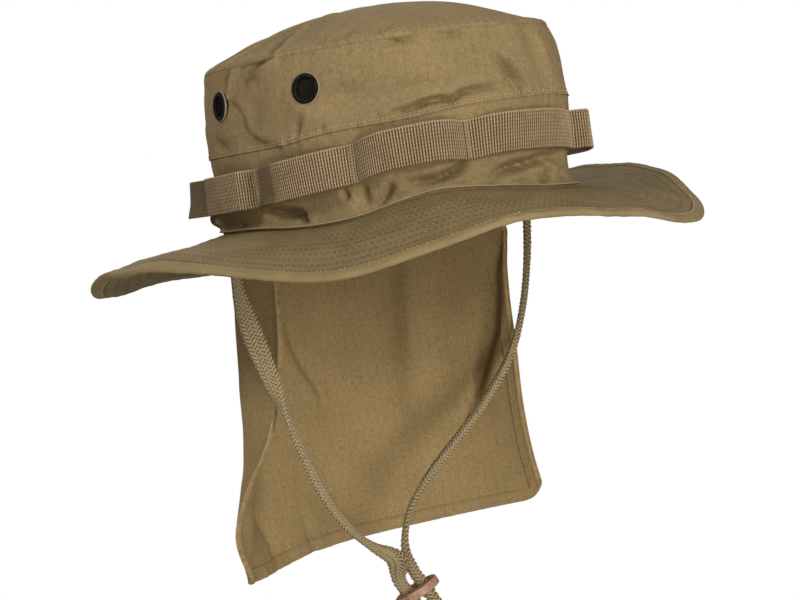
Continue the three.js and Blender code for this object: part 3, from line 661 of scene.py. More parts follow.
def mark(mesh: bpy.types.Mesh, label: str, values: Array) -> None:
    """Stores a number or a vector for each corner of a mesh, by name."""
    kind, key = ("FLOAT", "value") if values.ndim == 1 else ("FLOAT_VECTOR", "vector")
    mesh.attributes.new(label, kind, "POINT").data.foreach_set(key, values.astype(np.float32).ravel())


def six_volumes(points: Array, faces: Array) -> float:
    """Six times the volume inside the faces, below zero where they face inwards."""
    corners = points[faces]
    return sum(np.einsum("ij,ij->", corners[:, 0], np.cross(corners[:, turn], corners[:, turn + 1]))
               for turn in range(1, faces.shape[1] - 1))


def mesh_piece(name: str, points: Array, faces: Array, uvs: Array, sharp: float = 55.0,
               fans: Array = NO_FANS) -> bpy.types.Object:
    """Makes a closed mesh object that faces outwards.

    Args:
        name: The piece's name.
        points: Corners, in millimetres.
        faces: Corner numbers of each quad.
        uvs: The cloth's own place of each quad's corners, in millimetres.
        sharp: The angle past which an edge is drawn sharp, in degrees.
        fans: Corner numbers of the triangles that close its ends.

    Returns:
        The object, linked to the scene.
    """
    if six_volumes(points, faces) + six_volumes(points, fans) < 0:
        faces, uvs, fans = faces[:, ::-1], uvs[:, ::-1], fans[:, ::-1]
    mesh = bpy.data.meshes.new(name)
    mesh.vertices.add(len(points))
    mesh.vertices.foreach_set("co", (points * MM).astype(np.float32).ravel())
    mesh.loops.add(faces.size + fans.size)
    mesh.loops.foreach_set("vertex_index", np.concatenate([faces.ravel(), fans.ravel()]).astype(np.int32))
    mesh.polygons.add(len(faces) + len(fans))
    starts = np.concatenate([np.arange(0, faces.size, 4), faces.size + np.arange(0, fans.size, 3)])
    mesh.polygons.foreach_set("loop_start", starts.astype(np.int32))
    mesh.update(calc_edges=True)
    layer = mesh.uv_layers.new(name=UV_NAME)
    layer.data.foreach_set("uv", np.concatenate([uvs.ravel(), np.zeros(fans.size * 2)]).astype(np.float32))
    mesh.validate()
    mesh.shade_smooth()
    mesh.set_sharp_from_angle(angle=math.radians(sharp))
    return linked(name, mesh)


def grid_faces(columns: int, rows: int, around: bool) -> tuple[Array, Array]:
    """The quads of a grid whose last row joins its first, and the grid places of their corners.

    Args:
        columns: How many columns of corners.
        rows: How many rows.
        around: Whether the last column joins the first.

    Returns:
        Corner numbers, and (column, row) places that may run one past the last.
    """
    i, j = np.meshgrid(np.arange(columns if around else columns - 1), np.arange(rows), indexing="ij")
    i, j = i.ravel(), j.ravel()
    places = np.stack([np.stack([i + a, j + b], -1) for a, b in ((0, 0), (1, 0), (1, 1), (0, 1))], 1)
    numbers = (places[..., 0] % columns) * rows + places[..., 1] % rows
    return numbers, places


def tube_piece(name: str, grid: Array, coords: Array, sharp: float = 55.0) -> bpy.types.Object:
    """A closed skin over rings that run around the hat or an axis.

    Args:
        name: The piece's name.
        grid: Corners by ring and place on the ring, in millimetres.
        coords: The cloth's places, one ring and one place more than the grid has.
        sharp: The angle of a sharp edge.

    Returns:
        The object.
    """
    faces, places = grid_faces(*grid.shape[:2], True)
    return mesh_piece(name, grid.reshape(-1, 3), faces, coords[places[..., 0], places[..., 1]], sharp)


def wall_piece(name: str, face: Surface, back: Surface, us: Array, vs: Array, around: bool,
               coords: Surface) -> bpy.types.Object:
    """A closed cloth wall between two faces.

    Args:
        name: The piece's name.
        face: The outer face, from arrays of u and v.
        back: The inner face.
        us: The columns' places.
        vs: The rows' places, from 0 to 1 or as the faces read them.
        around: Whether the wall closes around the hat, a turn of u being 360.
        coords: The cloth's own place of each point, in millimetres.

    Returns:
        The object.
    """
    u, v = np.meshgrid(us, vs, indexing="ij")
    columns, rows = u.shape
    grid = np.concatenate([face(u, v), back(u, v)[:, ::-1]], axis=1)
    wide_u, wide_v = np.meshgrid(np.append(us, us[0] + TURN if around else us[-1]), vs, indexing="ij")
    flat = coords(wide_u, wide_v)
    flat = np.concatenate([flat, flat[:, ::-1], flat[:, :1]], axis=1)
    if around:
        return tube_piece(name, grid, flat)
    faces, places = grid_faces(columns, 2 * rows, False)
    all_faces, all_uvs = [faces], [flat[places[..., 0], places[..., 1]]]
    for column, flip in ((0, 1), (columns - 1, -1)):
        front = column * 2 * rows + np.arange(rows)
        rear = front[0] + 2 * rows - 1 - np.arange(rows)
        all_faces.append(np.stack([front[1:], front[:-1], rear[:-1], rear[1:]], -1)[:, ::flip])
        upper, lower = flat[column, 1:rows], flat[column, : rows - 1]
        all_uvs.append(np.stack([upper, lower, lower, upper], 1)[:, ::flip])
    return mesh_piece(name, grid.reshape(-1, 3), np.vstack(all_faces), np.concatenate(all_uvs))


def weld(piece: bpy.types.Object) -> bpy.types.Object:
    """Merges the corners of a mesh that lie on each other, as at a pole."""
    edit = bmesh.new()
    edit.from_mesh(piece.data)
    bmesh.ops.remove_doubles(edit, verts=edit.verts, dist=1e-6)
    edit.to_mesh(piece.data)
    edit.free()
    return piece


def lathe_piece(name: str, profile: Sequence[tuple[float, float]], place: Matrix,
                segments: int = 56) -> bpy.types.Object:
    """A closed profile of (radius, height) turned around its axis and put in place.

    Args:
        name: The piece's name.
        profile: The profile's corners, in millimetres, in order.
        place: Where it stands, its axis along Z.
        segments: How many steps around.

    Returns:
        The object.
    """
    turn = np.linspace(0, 2 * np.pi, segments, endpoint=False)[:, None]
    radius, height = np.array(profile, float).T
    grid = joined(radius * np.cos(turn), radius * np.sin(turn), height)
    u, v = np.meshgrid(np.linspace(0, 40, segments + 1), np.arange(len(profile) + 1.0), indexing="ij")
    piece = tube_piece(name, grid, joined(u, v), 40)
    piece.data.transform(place)
    return piece


def keep(piece: bpy.types.Object, slot: Slot, material: bpy.types.Material, *nodes: str) -> bpy.types.Object:
    """Dresses a finished piece and ties it to the frame.

    Args:
        piece: The finished piece.
        slot: The record's slot; not used.
        material: Its material.
        *nodes: The CAD nodes that it stands for.

    Returns:
        The piece.
    """
    piece.data.materials.clear()
    piece.data.materials.append(material)
    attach(piece, "root")
    if nodes:
        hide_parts(*nodes)
    piece.data.calc_loop_triangles()
    LOG.info("%s: %d triangles", piece.name, len(piece.data.loop_triangles))
    return piece


# ------------------------------------------------------------------------------------------------
# Finishes


class Tree:
    """Adds nodes to a node tree."""

    def __init__(self, tree: bpy.types.NodeTree) -> None:
        """Takes the tree."""
        self.tree = tree

    def add(self, kind: str, inputs: dict | None = None, **settings: object) -> bpy.types.Node:
        """Adds a node.

        Args:
            kind: The node's type.
            inputs: Values or sockets for its inputs, by name or number.
            **settings: The node's own settings.

        Returns:
            The node.
        """
        node = self.tree.nodes.new(kind)
        for key, value in settings.items():
            setattr(node, key, value)
        for key, value in (inputs or {}).items():
            self.join(value, node.inputs[key])
        return node

    def join(self, value: object, socket: Socket) -> None:
        """Gives an input a socket's result, a colour or another plain value."""
        if isinstance(value, Socket):
            self.tree.links.new(value, socket)
        elif socket.type == "RGBA" and len(value) == 3:
            socket.default_value = (*value, 1.0)
        else:
            socket.default_value = value

    def out(self, kind: str, inputs: dict | None = None, **settings: object) -> Socket:
        """The first result of a new node."""
        return self.add(kind, inputs, **settings).outputs[0]

    def math(self, operation: str, *values: object) -> Socket:
        """The result of a Math node."""
        return self.out("ShaderNodeMath", dict(enumerate(values)), operation=operation)

    def plus(self, a: object, b: object) -> Socket:
        """The sum of two numbers."""
        return self.math("ADD", a, b)

    def minus(self, a: object, b: object) -> Socket:
        """One number less another."""
        return self.math("SUBTRACT", a, b)

    def times(self, a: object, b: object) -> Socket:
        """The product of two numbers."""
        return self.math("MULTIPLY", a, b)


class Nodes(Tree):
    """Builds the nodes of one material."""

    def __init__(self, name: str) -> None:
        """Starts a material with a Principled shader."""
        self.material = bpy.data.materials.new(name)
        self.material.use_nodes = True
        super().__init__(self.material.node_tree)
        self.shader = next(n for n in self.tree.nodes if n.type == "BSDF_PRINCIPLED")

    def cloth_place(self) -> tuple[Socket, Socket, Socket]:
        """The cloth's own place, as a vector and as its two numbers, in millimetres."""
        uv = self.out("ShaderNodeUVMap", uv_map=UV_NAME)
        parts = self.add("ShaderNodeSeparateXYZ", {0: uv}).outputs
        return uv, parts[0], parts[1]

    def noise(self, vector: Socket, scale: float, stretch: Colour = (1, 1, 1), detail: float = 3.0) -> Socket:
        """Noise between about 0 and 1.

        Args:
            vector: Where it is read.
            scale: How fine it is.
            stretch: How much finer along each axis.
            detail: Its layers.

        Returns:
            The noise's value.
        """
        spot = self.out("ShaderNodeMapping", {"Vector": vector, "Scale": tuple(scale * s for s in stretch)})
        return self.out("ShaderNodeTexNoise", {"Vector": spot, "Scale": 1.0, "Detail": detail}, noise_dimensions="3D")

    def remap(self, value: Socket, low: float, high: float, to_low: float = 0.0, to_high: float = 1.0) -> Socket:
        """A value's smooth step between two limits."""
        return self.out("ShaderNodeMapRange", {0: value, 1: low, 2: high, 3: to_low, 4: to_high},
                        interpolation_type="SMOOTHSTEP")

    def blend(self, share: object, a: object, b: object, mode: str = "MIX") -> Socket:
        """A mix of two colours."""
        return self.add("ShaderNodeMix", {0: share, 6: a, 7: b}, data_type="RGBA", blend_type=mode).outputs[2]

    def tinted(self, share: Socket, tone: Socket, tint: Colour) -> Socket:
        """A colour with a share of it multiplied by a tint."""
        return self.blend(share, tone, self.blend(1.0, tone, tint, "MULTIPLY"))

    def stripes(self, value: Socket, pitch: float, wide: float) -> Socket:
        """Lines a pitch apart, 1 in their middle and 0 from half their width on."""
        turns = self.math("DIVIDE", value, pitch)
        off = self.math("ABSOLUTE", self.minus(self.math("FRACT", turns), 0.5))
        return self.remap(off, wide / pitch / 2, 0.0)

    def weave(self, u: Socket, v: Socket, pitch: float) -> Socket:
        """The raised crossings of a plain weave."""
        return self.times(self.stripes(u, pitch, pitch), self.stripes(v, pitch, pitch))

    def yarns(self, uv: Socket, coarse: float, fine: float) -> Socket:
        """Uneven yarns that run both ways.

        Args:
            uv: The cloth's own place.
            coarse: How fine the noise is along a yarn.
            fine: How fine it is across one.

        Returns:
            A value between about 0 and 1.
        """
        first = self.noise(uv, 1.0, (coarse, fine, 1), 2)
        second = self.noise(uv, 1.0, (fine, coarse, 1), 2)
        return self.plus(self.times(first, 0.5), self.times(second, 0.5))

    def bump(self, height: Socket, distance: float, strength: float = 1.0, under: Socket | None = None) -> Socket:
        """A bump's normal.

        Args:
            height: Its height, from 0 to 1.
            distance: Its depth in millimetres.
            strength: How much of it shows.
            under: A normal that it lies on.

        Returns:
            The normal.
        """
        inputs = {"Strength": strength, "Distance": distance * MM, "Height": height}
        return self.out("ShaderNodeBump", inputs | ({} if under is None else {"Normal": under}))

    def finish(self, colour: object, roughness: object, normal: Socket, **constants: object) -> bpy.types.Material:
        """Joins the results to the shader.

        Args:
            colour: The base colour.
            roughness: The roughness.
            normal: The normal.
            **constants: Values for the shader's other sockets, with _ for spaces.

        Returns:
            The material.
        """
        results = {"Base Color": colour, "Roughness": roughness, "Normal": normal}
        for key, value in (results | {key.replace("_", " "): value for key, value in constants.items()}).items():
            self.join(value, self.shader.inputs[key])
        return self.material


@dataclass(frozen=True)
class RipstopFinish:
    """Ripstop cloth: a fine plain weave with a grid of thicker yarns, mottled warm and olive."""

    name: str
    warm: Colour = (0.277, 0.194, 0.091)
    olive: Colour = (0.248, 0.178, 0.083)
    line: Colour = (0.100, 0.068, 0.030)
    cell: tuple[float, float] = (5.1, 3.65)
    contrast: float = 0.58

    def build(self) -> bpy.types.Material:
        """The cloth's material."""
        n = Nodes(self.name)
        uv, u, v = n.cloth_place()
        sway = n.minus(n.noise(uv, 0.05), 0.5)
        across = n.stripes(n.plus(u, sway), self.cell[0], 0.62)
        along = n.stripes(n.plus(v, sway), self.cell[1], 0.55)
        patchy = n.remap(n.noise(uv, 0.1, detail=3), 0.36, 0.62, 0.2, 1.0)
        dashed = n.remap(n.noise(uv, 1.0, (0.8, 0.45, 1), 1), 0.36, 0.6, 0.3, 1.0)
        dotted = n.remap(n.noise(uv, 1.0, (0.45, 0.8, 1), 1), 0.38, 0.62, 0.12, 0.75)
        across, along = n.times(across, dashed), n.times(along, dotted)
        lines = n.times(n.math("MAXIMUM", across, along), patchy)
        yarns = n.yarns(uv, 0.3, 2.2)
        tone = n.blend(n.remap(n.noise(uv, 0.035, detail=3), 0.36, 0.66), self.warm, self.olive)
        tone = n.tinted(n.remap(yarns, 0.36, 0.66), tone, (0.69, 0.69, 0.68))
        tone = n.blend(n.times(lines, self.contrast), tone, self.line)
        normal = n.bump(n.plus(n.times(n.weave(u, v, 0.62), 0.5), n.times(yarns, 0.9)), 0.09, 0.6)
        normal = n.bump(lines, 0.14, 0.55, normal)
        return n.finish(tone, n.remap(yarns, 0.3, 0.7, 0.78, 0.92), normal, Specular_IOR_Level=0.08)


@dataclass(frozen=True)
class PlainClothFinish:
    """The brim's smooth, close cloth."""

    name: str
    light: Colour = (0.218, 0.156, 0.072)
    dark: Colour = (0.183, 0.133, 0.060)
    # Where the first stitched row lies and how far apart the rows are, in millimetres; the colour is darkened along the
    # rows as painted shade in their grooves.
    quilted: tuple[float, float] | None = None

    def build(self) -> bpy.types.Material:
        """The cloth's material."""
        n = Nodes(self.name)
        uv, u, v = n.cloth_place()
        yarns = n.yarns(uv, 0.15, 2.4)
        tone = n.blend(n.remap(n.noise(uv, 0.05, detail=4), 0.36, 0.66), self.light, self.dark)
        tone = n.tinted(n.remap(yarns, 0.36, 0.66), tone, (0.84, 0.84, 0.83))
        normal = n.bump(n.plus(n.times(n.weave(u, v, 0.5), 0.5), n.times(yarns, 0.6)), 0.07, 0.5)
        if self.quilted is not None:
            first, apart = self.quilted
            # Painted shade: a band of darker colour along each stitched row, where the cloth is drawn into a groove.
            rows = n.stripes(n.minus(v, first - apart / 2), apart, 2.6)
            rows = n.times(rows, n.remap(v, first - 1.5, first - 1.0))
            tone = n.tinted(n.times(rows, 0.5), tone, (0.3, 0.3, 0.3))
        return n.finish(tone, n.remap(yarns, 0.3, 0.7, 0.74, 0.86), normal, Specular_IOR_Level=0.08)


@dataclass(frozen=True)
class WebbingFinish:
    """Ribbed webbing: light yarn in short dashes on each rib, with painted shade in the grooves between the ribs."""

    name: str
    # The crests' colour, and the near black painted as shade in the grooves and on the loop at the back.
    light: Colour = (0.430, 0.305, 0.168)
    dark: Colour = (0.070, 0.045, 0.021)
    # The width of a rib and the length of a dash, in millimetres.
    rib: float = 1.4
    dash: float = 1.75
    # Where the plain upper edge starts and where it is whole, in millimetres up the webbing.
    selvage: tuple[float, float] = (18.2, 18.7)

    def build(self) -> bpy.types.Material:
        """The webbing's material."""
        n = Nodes(self.name)
        uv, u, v = n.cloth_place()
        dashes = n.stripes(v, self.dash, self.dash)
        ribs = n.stripes(u, self.rib, self.rib)
        rough = n.noise(uv, 1.0, (1.3, 0.5, 1), 2)
        flat = n.add("ShaderNodeAttribute", attribute_name="flat").outputs["Fac"]
        # Painted shade: the colour is light on each rib's crest and dark in the grooves between the ribs, and a little
        # darker between the dashes; where the ribs are pressed flat it falls to a middle tone.
        ridge = n.remap(ribs, 0.14, 0.8)
        ridge = n.plus(ridge, n.times(flat, n.minus(0.45, ridge)))
        weft = n.remap(dashes, 0.0, 0.5, 0.58, 1.0)
        share = n.times(ridge, weft)
        share = n.times(share, n.remap(rough, 0.25, 0.62, 0.72, 1.0))
        share = n.math("MAXIMUM", share, n.times(n.remap(v, *self.selvage), 0.6))
        tone = n.blend(share, self.dark, self.light)
        # Painted shade: where the ribs are pressed fully flat, on the loop at the back, the colour is darkened towards
        # the near black.
        tone = n.blend(n.remap(flat, 0.94, 0.99, 0.0, 0.5), tone, self.dark)
        tone = n.tinted(n.remap(n.noise(uv, 0.12, detail=2), 0.35, 0.7, 0.0, 0.35), tone, (0.7, 0.68, 0.66))
        normal = n.bump(n.times(ribs, n.remap(dashes, 0.0, 0.8, 0.6, 1.0)), 0.22, 0.8)
        return n.finish(tone, 0.72, normal, Specular_IOR_Level=0.15)


@dataclass(frozen=True)
class YarnFinish:
    """Spun yarn, twisted along its length: braid strands and sewing thread."""

    name: str
    light: Colour = (0.400, 0.300, 0.165)
    dark: Colour = (0.135, 0.100, 0.050)
    twist: float = 0.7
    # How evenly light the yarn is, and how much painted shade darkens each strand away from its outward top, on its
    # sides and underside.
    even: float = 0.5
    painted_strand_shade: float = 0.0

    def build(self) -> bpy.types.Material:
        """The yarn's material."""
        n = Nodes(self.name)
        uv, u, v = n.cloth_place()
        fibres = n.stripes(n.plus(u, n.times(v, 1.6)), self.twist, self.twist)
        fleck = n.noise(uv, 1.0, (0.55, 0.8, 1), 3)
        share = n.times(n.remap(fleck, 0.2, 0.2 + self.even, 0.35), n.remap(fibres, 0.0, 0.6, 0.7, 1.0))
        # Painted shade: each strand is darkened away from its outward top, where the braid's strands would shade each
        # other.
        if self.painted_strand_shade:
            off = n.math("ABSOLUTE", n.minus(v, 0.8))
            share = n.times(share, n.remap(off, 0.75, 0.2, 1.0 - self.painted_strand_shade, 1.0))
        tone = n.blend(share, self.dark, self.light)
        return n.finish(tone, 0.8, n.bump(fibres, 0.12, 0.6), Specular_IOR_Level=0.12)


@dataclass(frozen=True)
class LeatherFinish:
    """Reddish-brown leather, paler where its edge has worn."""

    name: str
    light: Colour = (0.250, 0.112, 0.058)
    dark: Colour = (0.120, 0.046, 0.025)
    worn: Colour = (0.370, 0.205, 0.125)

    def build(self) -> bpy.types.Material:
        """The leather's material."""
        n = Nodes(self.name)
        spot = n.add("ShaderNodeTexCoord").outputs["Object"]
        grain = n.out("ShaderNodeTexVoronoi", {"Vector": spot, "Scale": 1100.0}, feature="SMOOTH_F1")
        cloud = n.noise(spot, 140.0, detail=4)
        rim = n.add("ShaderNodeAttribute", attribute_name="rim").outputs["Fac"]
        tone = n.blend(n.remap(cloud, 0.3, 0.68), self.light, self.dark)
        share = n.times(rim, n.remap(n.noise(spot, 500.0, detail=2), 0.3, 0.6, 0.35, 0.95))
        tone = n.blend(share, tone, self.worn)
        normal = n.bump(grain, 0.12, 0.5, n.bump(cloud, 0.3, 0.5))
        return n.finish(tone, n.remap(cloud, 0.3, 0.7, 0.42, 0.62), normal, Specular_IOR_Level=0.4)


@dataclass(frozen=True)
class LacquerFinish:
    """Black lacquer on metal, scuffed a little."""

    name: str
    colour: Colour = (0.006, 0.005, 0.004)
    scuffed: Colour = (0.022, 0.018, 0.014)
    roughness: float = 0.34
    # Between which places of the profile a pale band is painted on the rolled rim, and its colour: a painted highlight.
    worn: tuple[float, float] | None = None
    painted_rim_highlight: Colour = (0.37, 0.33, 0.25)

    def build(self) -> bpy.types.Material:
        """The lacquer's material."""
        n = Nodes(self.name)
        spot = n.add("ShaderNodeTexCoord").outputs["Object"]
        scuffs = n.remap(n.noise(spot, 420.0, detail=4), 0.52, 0.75)
        tone = n.blend(scuffs, self.colour, self.scuffed)
        rough = n.plus(n.times(scuffs, 0.2), self.roughness)
        # Painted highlight: the rolled rim's band is paled towards a light grey-brown, broken up by the scuffs.
        if self.worn is not None:
            v = n.cloth_place()[2]
            low, high = self.worn
            shown = n.times(n.remap(v, low - 0.4, low + 0.1), n.remap(v, high + 0.4, high - 0.1))
            tone = n.blend(n.times(shown, n.remap(scuffs, 0.0, 1.0, 0.8)), tone, self.painted_rim_highlight)
        return n.finish(tone, rough, n.bump(scuffs, 0.03, 0.4), Metallic=0.0, Specular_IOR_Level=0.07)


# ------------------------------------------------------------------------------------------------
# Stitches and other repeated shapes, by Geometry Nodes


class Weaver(Tree):
    """Builds a Geometry Nodes tree and turns its result into a plain mesh."""

    def __init__(self, name: str, finish: bpy.types.Material, lengths: dict[str, float], **numbers: float) -> None:
        """Starts a tree.

        Args:
            name: The tree's name.
            finish: The material that it sets.
            lengths: Its inputs that are lengths, in millimetres.
            **numbers: Its other inputs.
        """
        super().__init__(bpy.data.node_groups.new(name, "GeometryNodeTree"))
        face = self.tree.interface
        face.new_socket("Geometry", in_out="INPUT", socket_type="NodeSocketGeometry")
        kinds = {int: "NodeSocketInt", float: "NodeSocketFloat"}
        given = {label: value * MM for label, value in lengths.items()} | numbers | {"Finish": finish}
        self.values = {}
        for label, value in given.items():
            kind = kinds.get(type(value), "NodeSocketMaterial")
            self.values[face.new_socket(label, in_out="INPUT", socket_type=kind).identifier] = value
        face.new_socket("Geometry", in_out="OUTPUT", socket_type="NodeSocketGeometry")
        self.start = self.tree.nodes.new("NodeGroupInput")
        self.end = self.tree.nodes.new("NodeGroupOutput")

    def given(self, label: str) -> Socket:
        """The input of that name."""
        return self.start.outputs[label]

    def named(self, label: str, kind: str) -> Socket:
        """The attribute of that name, a FLOAT or a FLOAT_VECTOR."""
        return self.out("GeometryNodeInputNamedAttribute", {"Name": label}, data_type=kind)

    def vector(self, operation: str, inputs: dict) -> Socket:
        """The result of a Vector Math node."""
        return self.out("ShaderNodeVectorMath", inputs, operation=operation)

    def xyz(self, **parts: object) -> Socket:
        """A vector of its parts."""
        return self.out("ShaderNodeCombineXYZ", {key.upper(): value for key, value in parts.items()})

    def finish(self, geometry: Socket) -> None:
        """Ends the tree: instances made real, and the material set."""
        real = self.out("GeometryNodeRealizeInstances", {0: geometry})
        self.join(self.out("GeometryNodeSetMaterial", {"Geometry": real, "Material": self.given("Finish")}),
                  self.end.inputs[0])

    def run(self, name: str, base: bpy.types.Mesh) -> bpy.types.Object:
        """Runs the tree on a mesh and keeps the result as a plain mesh.

        Args:
            name: The new piece's name.
            base: The mesh that the tree starts from.

        Returns:
            The object.
        """
        carrier = linked(name + "_base", base)
        modifier = carrier.modifiers.new("weave", "NODES")
        modifier.node_group = self.tree
        for identifier, value in self.values.items():
            modifier[identifier] = value
        mesh = evaluated(carrier)
        bpy.data.objects.remove(carrier)
        return linked(name, mesh)


@dataclass
class StitchRows:
    """Rows of stitches laid on surfaces, sewn together as one piece."""

    name: str
    finish: bpy.types.Material
    slot: Slot
    length: float = 1.9
    width: float = 0.5
    height: float = 0.42
    jitter: float = 0.16
    seed: int = 7
    places: list[Array] = field(default_factory=list)
    ways: list[Array] = field(default_factory=list)
    facings: list[Array] = field(default_factory=list)

    def lay(self, surface: Surface, us: Array, vs: Array, pitch: float, lift: float, slant: float = 0.0,
            flip: float = 1.0) -> None:
        """Lays a row of stitches along a line on a surface.

        Args:
            surface: The surface, from arrays of u and v.
            us: The line's places in u, closely spaced.
            vs: Its places in v.
            pitch: The distance between stitches.
            lift: How far they stand out.
            slant: How far they are turned from the line, in degrees.
            flip: 1 or -1, for the side of the surface that they are on.
        """
        us, vs = np.broadcast_arrays(np.asarray(us, float), np.asarray(vs, float))
        reach = travelled(surface(us, vs))
        marks = np.arange(pitch / 2, reach[-1], pitch)
        u, v = np.interp(marks, reach, us), np.interp(marks, reach, vs)
        small = max(abs(us[-1] - us[0]), abs(vs[-1] - vs[0])) * 1e-4 + 1e-5
        around = surface(u + small, v) - surface(u - small, v)
        upwards = surface(u, v + small) - surface(u, v - small)
        facing = unit(np.cross(around, upwards)) * flip
        ahead, behind = (surface(np.interp(marks + step, reach, us), np.interp(marks + step, reach, vs))
                         for step in (0.3, -0.3))
        way, turn = unit(ahead - behind), math.radians(slant)
        turned = way * math.cos(turn) + np.cross(facing, way) * math.sin(turn)
        self.places.append(surface(u, v) + facing * lift)
        self.ways.append(turned)
        self.facings.append(facing)

    def sew(self) -> bpy.types.Object:
        """Makes the stitches.

        Returns:
            The piece.
        """
        places, ways, facings = (np.concatenate(part) for part in (self.places, self.ways, self.facings))
        base = bpy.data.meshes.new(self.name)
        base.vertices.add(len(places))
        base.vertices.foreach_set("co", (places * MM).astype(np.float32).ravel())
        mark(base, "way", ways)
        mark(base, "facing", facings)
        w = Weaver(self.name, self.finish, {"Length": self.length, "Width": self.width, "Height": self.height},
                   Jitter=self.jitter, Seed=self.seed)
        bead = w.out("GeometryNodeMeshIcoSphere", {"Radius": 0.5, "Subdivisions": 1})
        bead = w.out("GeometryNodeSetShadeSmooth", {0: bead})
        stored = w.out("GeometryNodeStoreNamedAttribute",
                       {"Geometry": bead, "Name": UV_NAME, "Value": w.out("GeometryNodeInputPosition")},
                       data_type="FLOAT2", domain="CORNER")
        way, facing = w.named("way", "FLOAT_VECTOR"), w.named("facing", "FLOAT_VECTOR")
        turn = w.out("FunctionNodeAlignRotationToVector", {"Vector": way}, axis="X")
        turn = w.out("FunctionNodeAlignRotationToVector", {"Rotation": turn, "Vector": facing},
                     axis="Z", pivot_axis="X")
        spread = w.out("FunctionNodeRandomValue", {"Min": (-1, -1, -1), "Max": (1, 1, 1), "Seed": w.given("Seed")},
                       data_type="FLOAT_VECTOR")
        spread = w.vector("ADD", {0: w.vector("SCALE", {0: spread, "Scale": w.given("Jitter")}), 1: (1, 1, 1)})
        size = w.vector("MULTIPLY", {0: w.xyz(x=w.given("Length"), y=w.given("Width"), z=w.given("Height")), 1: spread})
        w.finish(w.out("GeometryNodeInstanceOnPoints",
                       {"Points": w.given("Geometry"), "Instance": stored, "Rotation": turn, "Scale": size}))
        return keep(w.run(self.name, base), self.slot, self.finish)


# ------------------------------------------------------------------------------------------------
# Chin cord


@dataclass(frozen=True)
class Path3:
    """A smooth path through points, which does not swing out where they are unevenly spaced."""

    points: Array
    fineness: int = 40

    def spaced(self, step: float) -> Array:
        """Points along the path, evenly spaced.

        Args:
            step: About how far apart they are.

        Returns:
            The points.
        """
        knots = np.vstack([2 * self.points[0] - self.points[1], self.points, 2 * self.points[-1] - self.points[-2]])
        fine = []
        for p0, p1, p2, p3 in zip(knots, knots[1:], knots[2:], knots[3:]):
            t0, t1 = 0.0, np.linalg.norm(p1 - p0) ** 0.5
            t2 = t1 + np.linalg.norm(p2 - p1) ** 0.5
            t3 = t2 + np.linalg.norm(p3 - p2) ** 0.5
            t = np.linspace(t1, t2, self.fineness, endpoint=False)[:, None]
            a1 = (t1 - t) / (t1 - t0) * p0 + (t - t0) / (t1 - t0) * p1
            a2 = (t2 - t) / (t2 - t1) * p1 + (t - t1) / (t2 - t1) * p2
            a3 = (t3 - t) / (t3 - t2) * p2 + (t - t2) / (t3 - t2) * p3
            b1 = (t2 - t) / (t2 - t0) * a1 + (t - t0) / (t2 - t0) * a2
            b2 = (t3 - t) / (t3 - t1) * a2 + (t - t1) / (t3 - t1) * a3
            fine.append((t2 - t) / (t2 - t1) * b1 + (t - t1) / (t2 - t1) * b2)
        line = np.vstack(fine + [self.points[-1:]])
        length = travelled(line)[-1]
        return resampled(line, np.linspace(0, length, max(int(round(length / step)), 2) + 1))


